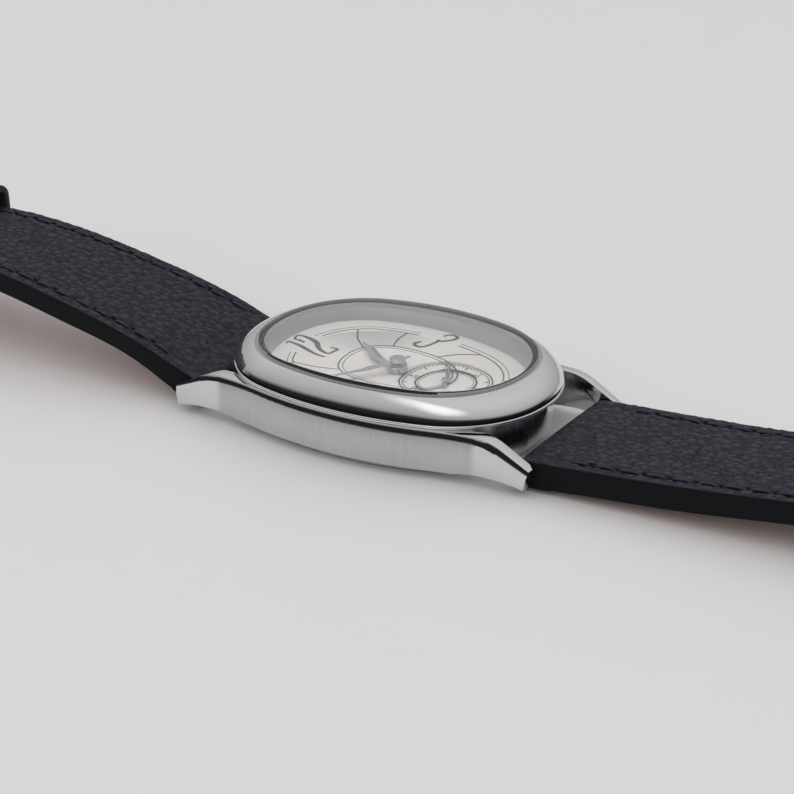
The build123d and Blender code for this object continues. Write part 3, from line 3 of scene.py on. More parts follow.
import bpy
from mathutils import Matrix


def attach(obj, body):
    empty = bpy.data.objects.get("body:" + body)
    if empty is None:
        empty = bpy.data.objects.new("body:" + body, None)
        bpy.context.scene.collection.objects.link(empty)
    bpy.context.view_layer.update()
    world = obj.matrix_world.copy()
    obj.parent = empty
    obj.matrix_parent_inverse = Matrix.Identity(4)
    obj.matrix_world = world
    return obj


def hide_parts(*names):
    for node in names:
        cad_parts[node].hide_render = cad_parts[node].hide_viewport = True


bl_info = {
    "name": "Oval wristwatch",
    "version": (1, 0, 0),
    "blender": (4, 5, 0),
    "location": "3D View > Sidebar > Watch",
    "description": "Dresses an oval wristwatch, its movement and its leather strap, and sets up its stage",
    "category": "Add Mesh",
}

from math import asin, atan2, cos, pi, radians, sin, sqrt

import bpy
import numpy
from mathutils import Matrix, Vector, noise

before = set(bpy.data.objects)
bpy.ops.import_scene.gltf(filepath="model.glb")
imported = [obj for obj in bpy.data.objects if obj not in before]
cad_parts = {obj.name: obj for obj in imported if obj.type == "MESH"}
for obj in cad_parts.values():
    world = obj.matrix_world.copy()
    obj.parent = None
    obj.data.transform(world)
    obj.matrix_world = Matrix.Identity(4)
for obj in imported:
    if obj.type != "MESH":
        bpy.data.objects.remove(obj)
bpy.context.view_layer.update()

MM = 0.001
TURN = 2 * pi


def length(name, description, millimetres):
    """Describe a size that is stated in millimetres and kept in metres."""
    return bpy.props.FloatProperty(
        name=name, description=description, default=millimetres * MM, min=0, unit="LENGTH", precision=5
    )


def tint(name, description, shade):
    """Describe a colour."""
    return bpy.props.FloatVectorProperty(
        name=name, description=description, default=shade, size=3, min=0, max=1, subtype="COLOR"
    )


def part_share(name, description, value):
    """Describe a number from 0 to 1."""
    return bpy.props.FloatProperty(
        name=name, description=description, default=value, min=0, max=1, subtype="FACTOR"
    )


class CaseSizes(bpy.types.PropertyGroup):
    """Heights and half sizes of the case, its bezel and its crystal."""

    case_top: length("Case top", "Height of the top of the case middle", 5.89)
    bead_top: length("Bead top", "Height of the top of the bezel's bead", 6.34)
    dome_bottom: length("Dome bottom", "Height at which the bezel's dome starts", 6.8)
    seat_top: length("Seat top", "Height of the bezel's inner lip", 9.0)
    seat_floor: length("Seat floor", "Height of the ledge that the crystal stands on", 7.5)
    bead_half_x: length("Bead half width", "Half width of the bezel over its bead", 14.37)
    bead_half_y: length("Bead half length", "Half length of the bezel over its bead", 20.1)
    seat_half_x: length("Seat half width", "Half width of the seat of the crystal", 13.0)
    seat_half_y: length("Seat half length", "Half length of the seat of the crystal", 17.15)
    cavity_half_x: length("Cavity half width", "Half width of the room for the movement", 12.45)
    cavity_half_y: length("Cavity half length", "Half length of the room for the movement", 16.4)
    gasket_wall: length("Gasket wall", "Thickness of the gasket round the crystal", 0.4)
    crystal_edge: length("Crystal edge", "Rise of the crystal's edge over the bezel", 0.36)
    crystal_dome: length("Crystal dome", "Rise of the crystal's middle over its edge", 0.5)


class DialSizes(bpy.types.PropertyGroup):
    """Places and sizes of what is printed on the dial, and of the hands over it."""

    dial_top: length("Dial top", "Height of the face of the dial", 5.6)
    outer_half_x: length("Outer ring half width", "Half width of the outer printed ring", 9.1)
    outer_half_y: length("Outer ring half length", "Half length of the outer printed ring", 12.6)
    inner_half_x: length("Inner ring half width", "Half width of the inner printed ring", 5.3)
    inner_half_y: length("Inner ring half length", "Half length of the inner printed ring", 7.0)
    line_width: length("Line width", "Width of the printed lines", 0.17)
    ink_height: length("Ink height", "Thickness of the print", 0.012)
    seconds_y: length("Small seconds place", "Distance of the small seconds from the middle", 6.4)
    seconds_radius: length("Small seconds radius", "Radius of the outer ring of the small seconds", 5.35)
    hour_length: length("Hour hand", "Length of the hour hand", 7.2)
    minute_length: length("Minute hand", "Length of the minute hand", 9.4)
    seconds_length: length("Seconds hand", "Length of the seconds hand", 4.1)


class StrapSizes(bpy.types.PropertyGroup):
    """Sizes of the leather strap and its stitching."""

    half_width: length("Half width at the case", "Half width of the strap between the lugs", 9.85)
    middle_half_width: length("Half width in the middle", "Half width of the strap at 50 mm", 9.25)
    end_half_width: length("Half width at the end", "Half width of the strap near its ends", 8.0)
    lining: length("Lining", "Thickness of the lining", 0.7)
    edge_round: length("Edge rounding", "Radius of the leather's upper edges", 0.35)
    seam_inset: length("Seam inset", "Distance of the seam from the edge", 1.7)
    seam_depth: length("Seam depth", "Depth of the groove that the seam lies in", 0.2)
    stitch_pitch: length("Stitch pitch", "Distance from stitch to stitch", 3.0)
    stitch_length: length("Stitch length", "Length of the thread that shows in a stitch", 2.3)
    thread_radius: length("Thread radius", "Radius of the thread", 0.24)
    pebble: length("Pebble", "Size of the pebbles in the leather's grain", 0.95)
    pebble_height: length("Pebble height", "Height of the pebbles", 0.2)


class Finishes(bpy.types.PropertyGroup):
    """Colours of the watch and of its stage."""

    polished: tint("Polished steel", "Colour of the polished steel", (0.78, 0.78, 0.79))
    brushed: tint("Brushed steel", "Colour of the brushed steel", (0.62, 0.62, 0.63))
    dial: tint("Dial", "Colour of the silvered dial", (0.90, 0.89, 0.875))
    ink: tint("Ink", "Colour of the print on the dial", (0.02, 0.02, 0.028))
    hands: tint("Hands", "Colour of the hands", (0.17, 0.16, 0.15))
    leather: tint("Leather", "Colour of the strap's leather", (0.015, 0.017, 0.027))
    edge_paint: tint("Edge paint", "Colour of the painted edges of the strap", (0.0045, 0.0055, 0.0065))
    thread: tint("Thread", "Colour of the stitches", (0.007, 0.009, 0.034))
    lining: tint("Lining", "Colour of the strap's lining", (0.27, 0.085, 0.05))
    brass: tint("Brass", "Colour of the movement's brass", (0.78, 0.60, 0.33))
    table: tint("Table", "Colour of the table", (0.76, 0.748, 0.752))
    light_level: part_share("Light level", "Level of the even light of the studio", 0.92)


def mm(metres):
    """Give a size of the property groups in millimetres."""
    return metres / MM


# Ways of modelling that several pieces share


def deselect():
    """Leave nothing selected."""
    bpy.ops.object.select_all(action="DESELECT")


def pick(*pieces):
    """Select these pieces alone, the first of them active."""
    deselect()
    for piece in pieces:
        piece.select_set(True)
    bpy.context.view_layer.objects.active = pieces[0]


def edit_all(*steps):
    """Run editing steps on the active mesh, each of them with everything selected."""
    bpy.ops.object.mode_set(mode="EDIT")
    for step, settings in steps:
        bpy.ops.mesh.select_all(action="SELECT")
        step(**settings)
    bpy.ops.object.mode_set(mode="OBJECT")


def shell(name, rings, capped=False, closed=False, smooth=40):
    """Extrude a ring of points through further rings, all in millimetres, into one surface."""
    rings = rings + rings[:1] if closed else rings
    deselect()
    bpy.ops.mesh.primitive_circle_add(vertices=len(rings[0]), fill_type="NOTHING")
    piece = bpy.context.object
    piece.name = piece.data.name = name
    bpy.ops.object.mode_set(mode="EDIT")
    bpy.ops.mesh.select_all(action="SELECT")
    for _ in rings[1:]:
        bpy.ops.mesh.extrude_edges_indiv()
    bpy.ops.object.mode_set(mode="OBJECT")
    places = numpy.array(rings, dtype=float).reshape(-1) * MM
    piece.data.vertices.foreach_set("co", places)
    piece.data.update()
    merged = (bpy.ops.mesh.remove_doubles, {"threshold": 0.0005 * MM})
    outwards = (bpy.ops.mesh.normals_make_consistent, {"inside": False})
    edit_all(merged, outwards)
    if capped:
        edit_all((bpy.ops.mesh.fill_holes, {"sides": 0}), outwards)
    pick(piece)
    if smooth:
        bpy.ops.object.shade_smooth_by_angle(angle=radians(smooth))
    return piece


def join(name, pieces):
    """Join pieces into one mesh with one name."""
    pick(*pieces)
    if len(pieces) > 1:
        bpy.ops.object.join()
    piece = bpy.context.object
    piece.name = piece.data.name = name
    return piece


def copies(name, model, places):
    """Set a copy of a model at each place, join them and leave the model out."""
    made = []
    for place in places:
        twin = model.copy()
        twin.data = model.data.copy()
        bpy.context.collection.objects.link(twin)
        twin.data.transform(place)
        made.append(twin)
    bpy.data.objects.remove(model)
    return join(name, made)


def cut(piece, cutter):
    """Take a cutter's shape out of a piece."""
    pick(piece)
    modifier = piece.modifiers.new("Cut", "BOOLEAN")
    modifier.object = cutter
    modifier.solver = "EXACT"
    bpy.ops.object.modifier_apply(modifier=modifier.name)
    bpy.data.objects.remove(cutter)


def settle(piece, body, material, *nodes):
    """Give a piece its finish and the body that it rides on, in place of CAD nodes."""
    piece.data.materials.clear()
    piece.data.materials.append(material)
    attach(piece, body)
    if nodes:
        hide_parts(*nodes)


def paint_faces(piece, material, chosen):
    """Give a second finish to the faces that a test chooses."""
    piece.data.materials.append(material)
    for face in piece.data.polygons:
        if chosen(face):
            face.material_index = 1


def eased(node, width, name):
    """Copy a CAD node into a piece of its own with softened edges."""
    source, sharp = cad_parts[node], radians(30)
    piece = source.copy()
    piece.data = source.data.copy()
    piece.parent = None
    piece.matrix_world = Matrix.Identity(4)
    bpy.context.collection.objects.link(piece)
    piece.name = piece.data.name = name
    pick(piece)
    edit_all(
        (bpy.ops.mesh.remove_doubles, {"threshold": 0.001 * MM}),
        (bpy.ops.mesh.dissolve_limited, {"angle_limit": radians(0.3)}),
    )
    modifier = piece.modifiers.new("Eased edges", "BEVEL")
    modifier.width = width * MM
    modifier.segments = 3
    modifier.limit_method = "ANGLE"
    modifier.angle_limit = sharp
    modifier.harden_normals = False
    bpy.ops.object.modifier_apply(modifier=modifier.name)
    bpy.ops.object.shade_smooth_by_angle(angle=sharp)
    return piece


def dress(material, *nodes):
    """Give CAD nodes a finish in their own material slots."""
    for node in nodes:
        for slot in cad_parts[node].material_slots:
            slot.material = material


# Radii of an oval's arcs as shares of its half sizes, and the steps in a quarter of it
SIDE_SHARE, END_SHARE, CORNER_SHARE = 1.95, 1.25, 0.88
SIDE_STEPS, CORNER_STEPS, END_STEPS = 14, 12, 14


def oval(half_x, half_y):
    """Give an oval of eight tangent arcs as points, counterclockwise from three o'clock."""
    side_radius, end_radius, corner_radius = SIDE_SHARE * half_y, END_SHARE * half_x, CORNER_SHARE * half_x
    side_centre = Vector((half_x - side_radius, 0))
    end_centre = Vector((0, half_y - end_radius))
    line = end_centre - side_centre
    to_side, to_end = side_radius - corner_radius, end_radius - corner_radius
    along = (to_side**2 - to_end**2 + line.length**2) / (2 * line.length)
    across = sqrt(to_side**2 - along**2)
    unit = line.normalized()
    corner = side_centre + unit * along + Vector((-unit.y, unit.x)) * across
    first = atan2(corner.y - side_centre.y, corner.x - side_centre.x)
    last = atan2(corner.y - end_centre.y, corner.x - end_centre.x)
    quarter = []
    arcs = (
        (side_centre, side_radius, 0, first, SIDE_STEPS),
        (corner, corner_radius, first, last, CORNER_STEPS),
        (end_centre, end_radius, last, pi / 2, END_STEPS),
    )
    for centre, radius, start, end, steps in arcs:
        for step in range(steps):
            turn = start + (end - start) * step / steps
            quarter.append((centre.x + radius * cos(turn), centre.y + radius * sin(turn)))
    top = [(0, half_y)]
    left = [(-x, y) for x, y in reversed(quarter)]
    lower_left = [(-x, -y) for x, y in quarter[1:]]
    lower_right = [(x, -y) for x, y in reversed(quarter[1:])]
    return quarter + top + left + lower_left + [(0, -half_y)] + lower_right


def oval_ring(half_x, half_y, z):
    """Give an oval at a height."""
    return [(x, y, z) for x, y in oval(half_x, half_y)]


def half_sizes(sizes, part):
    """Give the half width and half length of one oval part in millimetres."""
    return [mm(getattr(sizes, f"{part}_half_{side}")) for side in "xy"]


def drawn_in(halves, inset, z):
    """Give an oval at a height, drawn in from these half sizes."""
    return oval_ring(halves[0] - inset, halves[1] - inset, z)


def round_ring(radius, z, count=48, centre=(0, 0)):
    """Give a circle at a height."""
    turns = [TURN * step / count for step in range(count)]
    return [(centre[0] + radius * cos(turn), centre[1] + radius * sin(turn), z) for turn in turns]


def curve_through(points, steps):
    """Give points along a smooth line through the given ones."""
    padded = [points[0], *points, points[-1]]
    line = []
    for index in range(1, len(padded) - 2):
        before, start, end, after = (Vector(place) for place in padded[index - 1 : index + 3])
        for step in range(steps):
            t = step / steps
            line.append(
                start * 2 + (end - before) * t
                + (before * 2 - start * 5 + end * 4 - after) * t**2
                + (start * 3 - before - end * 3 + after) * t**3
            )
    return [place / 2 for place in line] + [Vector(points[-1])]


def broad_line(points, widths, steps):
    """Give places along a smooth line with its left and right edges, for a width that changes along it."""
    line = curve_through([Vector(point) for point in points], steps)
    places = []
    for index, place in enumerate(line):
        before, after = line[max(index - 1, 0)], line[min(index + 1, len(line) - 1)]
        side = Vector((before.y - after.y, after.x - before.x)).normalized()
        share = index / (len(line) - 1) * (len(widths) - 1)
        lower = min(int(share), len(widths) - 2)
        half = (widths[lower] + (widths[lower + 1] - widths[lower]) * (share - lower)) / 2
        places.append((place, place + side * half, place - side * half))
    return places


def pen_line(name, points, widths, low, high, steps=6):
    """Draw a line of ink with a pen whose width changes along it."""
    rings = []
    for _, left, right in broad_line(points, widths, steps):
        rings.append([(*left, low), (*left, high), (*right, high), (*right, low)])
    return shell(name, rings, capped=True, smooth=0)


# Materials and the effects that they share


def plug(tree, node, inputs):
    """Link or set inputs of a node."""
    for key, value in inputs.items():
        if isinstance(value, bpy.types.NodeSocket):
            tree.links.new(value, node.inputs[key])
        else:
            node.inputs[key].default_value = value


def add(tree, kind, inputs=None, **settings):
    """Add a node, set it up, and link or set its inputs."""
    node = tree.nodes.new(kind)
    for key, value in settings.items():
        setattr(node, key, value)
    plug(tree, node, inputs or {})
    return node


def worked_out(tree, operation, *values, **settings):
    """Work a number out of others, and give its socket."""
    return add(tree, "ShaderNodeMath", dict(enumerate(values)), operation=operation, **settings).outputs[0]


def spanned(tree, value, start, end, low=0.0, high=1.0, **settings):
    """Map a number from one span to another, and give its socket."""
    inputs = {"Value": value, 1: start, 2: end, 3: low, 4: high}
    return add(tree, "ShaderNodeMapRange", inputs, **settings).outputs["Result"]


def blended(tree, share, first, second, blend_type="MIX"):
    """Mix two colours by a share, and give the socket of the mix."""
    inputs = {"Factor": share, 6: first, 7: second}
    return add(tree, "ShaderNodeMix", inputs, data_type="RGBA", blend_type=blend_type).outputs[2]


def relief(tree, height, strength, depth):
    """Raise fine relief, of a depth in millimetres, and give the socket of its normals."""
    inputs = {"Height": height, "Strength": strength, "Distance": depth * MM}
    return add(tree, "ShaderNodeBump", inputs).outputs["Normal"]


def effect(name, inputs, outputs):
    """Start a shader node group with named inputs, and with names for the values that it puts out."""
    tree = bpy.data.node_groups.new(name, "ShaderNodeTree")
    for label, default in inputs.items():
        kind = "NodeSocketVector" if isinstance(default, tuple) else "NodeSocketFloat"
        tree.interface.new_socket(name=label, in_out="INPUT", socket_type=kind).default_value = default
    for label in outputs:
        tree.interface.new_socket(name=label, in_out="OUTPUT", socket_type="NodeSocketFloat")
    return tree, tree.nodes.new("NodeGroupInput").outputs, tree.nodes.new("NodeGroupOutput")


def worked_surface():
    """Build the effect of a worked surface: fine marks that run with the grain, and soft blotches."""
    tree, given, result = effect(
        "Worked surface",
        {"Grain": (1000.0, 1000.0, 1000.0), "Blotch Scale": 200.0, "Roughness": 0.4, "Spread": 0.1},
        ("Tone", "Roughness", "Height"),
    )
    place = add(tree, "ShaderNodeTexCoord").outputs["Object"]
    grain = add(tree, "ShaderNodeMapping", {"Vector": place, "Scale": given["Grain"]}).outputs["Vector"]
    marks = add(tree, "ShaderNodeTexNoise", {"Vector": grain, "Scale": 1.0, "Detail": 3.0}).outputs["Fac"]
    blotches = add(
        tree, "ShaderNodeTexNoise", {"Vector": place, "Scale": given["Blotch Scale"], "Detail": 2.0}
    )
    tone = worked_out(tree, "MULTIPLY", worked_out(tree, "ADD", marks, blotches.outputs["Fac"]), 0.5)
    swing = worked_out(tree, "SUBTRACT", tone, 0.5)
    roughness = worked_out(tree, "MULTIPLY_ADD", swing, given["Spread"], given["Roughness"])
    plug(tree, result, {"Tone": tone, "Roughness": roughness, "Height": marks})
    return tree


def pebbled_grain():
    """Build the effect of pebbled leather: rounded pebbles, creases darkened with painted shade, and fine
    pores.
    """
    tree, given, result = effect(
        "Pebbled grain", {"Scale": 900.0, "Stretch": (1.0, 0.8, 1.0)}, ("Tone", "Height")
    )
    place = add(tree, "ShaderNodeTexCoord").outputs["Object"]
    stretched = add(tree, "ShaderNodeMapping", {"Vector": place, "Scale": given["Stretch"]})
    cells = {"Vector": stretched.outputs["Vector"], "Scale": given["Scale"]}
    crease = add(tree, "ShaderNodeTexVoronoi", cells, feature="DISTANCE_TO_EDGE").outputs["Distance"]
    rounded = spanned(tree, crease, 0.0, 0.32, interpolation_type="SMOOTHSTEP")
    pores = add(tree, "ShaderNodeTexNoise", {"Vector": place, "Scale": 5200.0, "Detail": 3.0})
    height = worked_out(tree, "MULTIPLY_ADD", pores.outputs["Fac"], 0.3, rounded)
    plug(tree, result, {"Tone": rounded, "Height": height})
    return tree


def placed(tree, name, maker, values):
    """Place a shared effect, built the first time, in a material with values of its own."""
    node = tree.nodes.new("ShaderNodeGroup")
    node.node_tree = bpy.data.node_groups.get(name) or maker()
    plug(tree, node, values)
    return node.outputs


def new_material(name):
    """Start a material and give its nodes and its main shader."""
    material = bpy.data.materials.new(name)
    material.use_nodes = True
    return material, material.node_tree, material.node_tree.nodes["Principled BSDF"]


def scaled(shade, level):
    """Give a colour made darker or lighter, up to white, with its opacity."""
    return (*(min(value * level, 1) for value in shade), 1)


def worked(tree, grain, roughness, spread):
    """Place the effect of a worked surface in a material."""
    values = {"Grain": grain, "Roughness": roughness, "Spread": spread}
    return placed(tree, "Worked surface", worked_surface, values)


def finish(
    name,
    shade,
    roughness,
    metallic=0.0,
    grain=(900, 900, 900),
    spread=0.1,
    bump=0.1,
    contrast=0.12,
    sheen=0.5,
):
    """Make a worked finish: a colour with marks along its grain, uneven gloss and fine relief."""
    known = bpy.data.materials.get(name)
    if known:
        return known
    material, tree, shader = new_material(name)
    surface = worked(tree, grain, roughness, spread)
    shades = scaled(shade, 1 - contrast), scaled(shade, 1 + contrast)
    looks = {
        "Base Color": blended(tree, surface["Tone"], *shades),
        "Roughness": surface["Roughness"],
        "Normal": relief(tree, surface["Height"], bump, 0.02),
        "Metallic": metallic,
        "Specular IOR Level": sheen,
    }
    plug(tree, shader, looks)
    return material


def polished_steel(colours):
    """Make mirror-polished steel."""
    return finish("polished_steel", colours.polished, 0.07, 1.0, (300, 300, 300), 0.05, 0.02, 0.03)


def satin_steel(colours):
    """Make satin steel, for small turned and stamped pieces."""
    return finish("satin_steel", colours.brushed, 0.28, 1.0, (2500, 2500, 250), 0.15, 0.15, 0.1)


def cased_steel(colours):
    """Make the case's steel: brushed upright on the flanks, polished on bevels and lugs."""
    material, tree, shader = new_material("cased_steel")
    surface = worked(tree, (3800, 3800, 130), 0.33, 0.3)
    place = add(tree, "ShaderNodeTexCoord").outputs
    facing = add(tree, "ShaderNodeSeparateXYZ", {0: place["Normal"]}).outputs["Z"]
    steep = spanned(tree, worked_out(tree, "ABSOLUTE", facing), 0.2, 0.28, 1.0, 0.0)
    along = add(tree, "ShaderNodeSeparateXYZ", {0: place["Object"]}).outputs["Y"]
    middle = spanned(tree, worked_out(tree, "ABSOLUTE", along), 16.6 * MM, 17.4 * MM, 1.0, 0.0)
    brushed = worked_out(tree, "MULTIPLY", steep, middle)
    streaks = blended(tree, surface["Tone"], (0.50, 0.50, 0.51, 1), (0.74, 0.74, 0.75, 1))
    gloss = add(
        tree, "ShaderNodeMix", {"Factor": brushed, 2: 0.07, 3: surface["Roughness"]}, data_type="FLOAT"
    )
    looks = {
        "Base Color": blended(tree, brushed, (*colours.polished, 1), streaks),
        "Roughness": gloss.outputs[0],
        "Normal": relief(tree, worked_out(tree, "MULTIPLY", surface["Height"], brushed), 0.35, 0.03),
        "Metallic": 1.0,
    }
    plug(tree, shader, looks)
    return material


def grained_leather(colours):
    """Make the strap's pebbled leather."""
    known = bpy.data.materials.get("grained_leather")
    if known:
        return known
    material, tree, shader = new_material("grained_leather")
    values = {"Scale": 2600.0, "Stretch": (1.0, 0.75, 1.0)}
    surface = placed(tree, "Pebbled grain", pebbled_grain, values)
    raised = add(tree, "ShaderNodeAttribute", attribute_name="pebble").outputs["Fac"]
    # The colour runs from dark in the creases to light on the pebbles' tops: partly the grain's own tone,
    # partly painted shade and painted highlight
    fine = worked_out(tree, "MULTIPLY", surface["Tone"], 0.3)
    tone = worked_out(tree, "MULTIPLY_ADD", raised, 0.7, fine)
    looks = {
        "Base Color": blended(tree, tone, scaled(colours.leather, 0.2), scaled(colours.leather, 1.7)),
        "Roughness": spanned(tree, tone, 0.0, 1.0, 0.75, 0.42),
        "Normal": relief(tree, surface["Height"], 0.3, 0.03),
        "Specular IOR Level": 0.35,
    }
    plug(tree, shader, looks)
    return material


def silvered(sizes, colours):
    """Make the dial's silver face: finely grained, with a painted sheen that turns round the zone of the
    hours.
    """
    material = finish("silvered_dial", colours.dial, 0.5, 0.08, (1400, 60, 1400), 0.15, 0.08, 0.04)
    tree, shader = material.node_tree, material.node_tree.nodes["Principled BSDF"]
    place = add(tree, "ShaderNodeTexCoord").outputs["Object"]

    def within(half_x, half_y, centre_y=0.0):
        """Mark the inside of an oval of these half sizes."""
        place_and_scale = {"Location": (0, -centre_y / half_y, 0), "Scale": (1 / half_x, 1 / half_y, 0)}
        spot = add(tree, "ShaderNodeMapping", {"Vector": place, **place_and_scale}).outputs["Vector"]
        reach = add(tree, "ShaderNodeVectorMath", {0: spot}, operation="LENGTH").outputs["Value"]
        return worked_out(tree, "LESS_THAN", reach, 1.0)

    outer = within(sizes.outer_half_x, sizes.outer_half_y)
    inner = within(sizes.inner_half_x, sizes.inner_half_y)
    small = within(sizes.seconds_radius, sizes.seconds_radius, -sizes.seconds_y)
    ring = worked_out(tree, "SUBTRACT", outer, inner)
    hours = worked_out(tree, "SUBTRACT", ring, small, use_clamp=True)
    # Painted sheen: the zone of the hours is painted darker towards the upper right and the lower left, in
    # place of the brushed silver's reflection
    heading = add(tree, "ShaderNodeVectorMath", {0: place}, operation="NORMALIZE").outputs["Vector"]
    parts = add(tree, "ShaderNodeSeparateXYZ", {0: heading}).outputs
    turn = worked_out(tree, "MULTIPLY", parts["X"], parts["Y"])
    dark = worked_out(tree, "MULTIPLY", hours, spanned(tree, turn, 0.0, 0.4, 0.02, 0.5))
    plain = shader.inputs["Base Color"].links[0].from_socket
    plug(tree, shader, {"Base Color": blended(tree, dark, plain, (0.2, 0.2, 0.2, 1))})
    return material


def clear_crystal():
    """Make the crystal, which lets the studio's light through to the dial."""
    material, tree, shader = new_material("clear_crystal")
    place = add(tree, "ShaderNodeTexCoord").outputs["Object"]
    haze = add(tree, "ShaderNodeTexNoise", {"Vector": place, "Scale": 90.0, "Detail": 2.0}).outputs["Fac"]
    looks = {
        "Base Color": (0.995, 0.99, 0.985, 1),
        "Roughness": spanned(tree, haze, 0.0, 1.0, 0.0, 0.012),
        "Transmission Weight": 1.0,
        "Metallic": 0.0,
        "IOR": 1.5,
    }
    plug(tree, shader, looks)
    path = add(tree, "ShaderNodeLightPath").outputs
    through = worked_out(tree, "MAXIMUM", path["Is Shadow Ray"], path["Is Diffuse Ray"])
    clear = add(tree, "ShaderNodeBsdfTransparent", {"Color": (0.99, 0.985, 0.98, 1)})
    mixed = add(
        tree, "ShaderNodeMixShader", {0: through, 1: shader.outputs[0], 2: clear.outputs[0]}
    )
    plug(tree, tree.nodes["Material Output"], {"Surface": mixed.outputs[0]})
    return material


# Case, bezel and crystal


class WATCH_OT_case(bpy.types.Operator):
    """Dress the case middle, with softened edges, and the case back"""

    bl_idname = "watch.case"
    bl_label = "Case"

    def execute(self, context):
        colours = context.scene.watch_finishes
        settle(eased("case_middle", 0.07, "case_body"), "case", cased_steel(colours), "case_middle")
        settle(eased("case_back", 0.05, "case_cover"), "case", satin_steel(colours), "case_back")
        return {"FINISHED"}


def slope_inset(run, rise, tilt, height):
    """Give how far a round slope, which starts at a tilt, has drawn in at a height."""
    end = 2 * atan2(run, rise) - tilt
    radius = rise / (sin(end) - sin(tilt))
    return radius * (cos(tilt) - cos(asin(sin(tilt) + height / radius)))


class WATCH_OT_bezel(bpy.types.Operator):
    """Model the polished bezel: a bead, a groove and a dome that widens towards twelve and six"""

    bl_idname = "watch.bezel"
    bl_label = "Bezel"

    def execute(self, context):
        sizes = context.scene.watch_case
        bead, seat, cavity = (half_sizes(sizes, part) for part in ("bead", "seat", "cavity"))
        foot, bead_top, dome_bottom = mm(sizes.case_top), mm(sizes.bead_top), mm(sizes.dome_bottom)
        seat_top, seat_floor = mm(sizes.seat_top), mm(sizes.seat_floor)
        bead_radius = (bead_top - foot) / 2
        groove, lip, dome_edge, foot_tilt = 0.35, 0.15, 0.07, radians(22)
        rings = [drawn_in(cavity, 0, seat_floor), drawn_in(cavity, 0, foot)]
        for step in range(9):
            turn = -pi / 2 + pi * step / 8
            height = foot + bead_radius * (1 + sin(turn))
            rings.append(drawn_in(bead, bead_radius * (1 - cos(turn)), height))
        rings += [
            drawn_in(bead, groove, bead_top + 0.02),
            drawn_in(bead, groove, dome_bottom - 0.06),
            drawn_in(bead, dome_edge + 0.06, dome_bottom - 0.05),
        ]
        rise = seat_top - 0.07 - dome_bottom
        runs = [bead[side] - dome_edge - seat[side] - lip for side in (0, 1)]
        for step in range(25):
            height = rise * sin(pi / 2 * step / 24)
            halves = [
                half - dome_edge - slope_inset(run, rise, foot_tilt, height) for half, run in zip(bead, runs)
            ]
            rings.append(oval_ring(*halves, dome_bottom + height))
        rings += [
            drawn_in(seat, -0.08, seat_top - 0.01),
            drawn_in(seat, -0.02, seat_top - 0.03),
            drawn_in(seat, 0, seat_top - 0.1),
            drawn_in(seat, 0, seat_floor),
        ]
        bezel = shell("polished_bezel", rings, closed=True)
        settle(bezel, "case", polished_steel(context.scene.watch_finishes), "bezel")
        # The groove's faces get a near-black finish: painted shade, standing in for the dark line that the
        # polished groove shows
        shadow = finish("groove_painted_shade", (0.012, 0.012, 0.013), 0.5, contrast=0.3, sheen=0.1)
        paint_faces(bezel, shadow, lambda face: bead_top < face.center.z / MM < dome_bottom - 0.02)
        return {"FINISHED"}


class WATCH_OT_crystal(bpy.types.Operator):
    """Model the domed crystal and the gasket round it"""

    bl_idname = "watch.crystal"
    bl_label = "Crystal"

    def execute(self, context):
        sizes = context.scene.watch_case
        wall, seat = mm(sizes.gasket_wall), half_sizes(sizes, "seat")
        rim = [half - wall for half in seat]
        foot, edge = mm(sizes.seat_floor), mm(sizes.seat_top) + mm(sizes.crystal_edge)
        rise = mm(sizes.crystal_dome)
        dome_radius = (rim[1] ** 2 + rise**2) / (2 * rise)
        middle = edge + rise - dome_radius
        hollow, ledge, rounding, collar_height = 0.7, 0.7, 0.12, 1.36
        under = foot + hollow

        def domed(inset, share, drop=0.0):
            """Give a ring of the domed face."""
            ring = [(x * share, y * share) for x, y in oval(rim[0] - inset, rim[1] - inset)]
            return [(x, y, middle + sqrt(dome_radius**2 - x**2 - y**2) - drop) for x, y in ring]

        rings = [oval_ring(0.02, 0.03, under)]
        rings += [
            oval_ring(*[(half - ledge) * share for half in rim], under) for share in (0.35, 0.7, 0.96)
        ]
        rings += [
            drawn_in(rim, ledge, under - 0.03),
            drawn_in(rim, ledge, foot),
            drawn_in(rim, 0, foot),
            drawn_in(rim, 0, edge - 0.2),
        ]
        for step in range(1, 5):
            turn = pi / 2 * step / 5
            rings.append(domed(rounding * (1 - cos(turn)), 1, rounding * (1 - sin(turn))))
        shares = (1, 0.985, 0.95, 0.9, 0.8, 0.65, 0.5, 0.35, 0.2, 0.08, 0.002)
        rings += [domed(rounding, share) for share in shares]
        crystal = shell("crystal_glass", rings, capped=True, smooth=50)
        settle(crystal, "case", clear_crystal(), "crystal")

        def on_edge(face):
            """Tell whether a face of the crystal is on its ground edge or on its foot."""
            height = face.center.z / MM
            return height < foot + 0.1 or (abs(face.normal.z) < 0.3 and height < edge - 0.1)

        paint_faces(crystal, finish("ground_edge", (0.36, 0.355, 0.345), 0.5, contrast=0.15), on_edge)
        top = foot + collar_height
        collar_rings = [
            drawn_in(seat, 0, foot),
            drawn_in(seat, 0, top - 0.05),
            drawn_in(seat, wall / 2, top),
            drawn_in(rim, 0, top - 0.05),
            drawn_in(rim, 0, foot),
        ]
        collar = shell("crystal_collar", collar_rings, closed=True)
        grey = finish("gasket_grey", (0.43, 0.43, 0.42), 0.5, spread=0.2, bump=0.2, contrast=0.2)
        settle(collar, "case", grey, "crystal_gasket")
        rubber = finish("rubber", (0.02, 0.02, 0.02), 0.6, spread=0.2, bump=0.2, contrast=0.3)
        dress(rubber, "case_back_gasket")
        return {"FINISHED"}


# Dial and hands


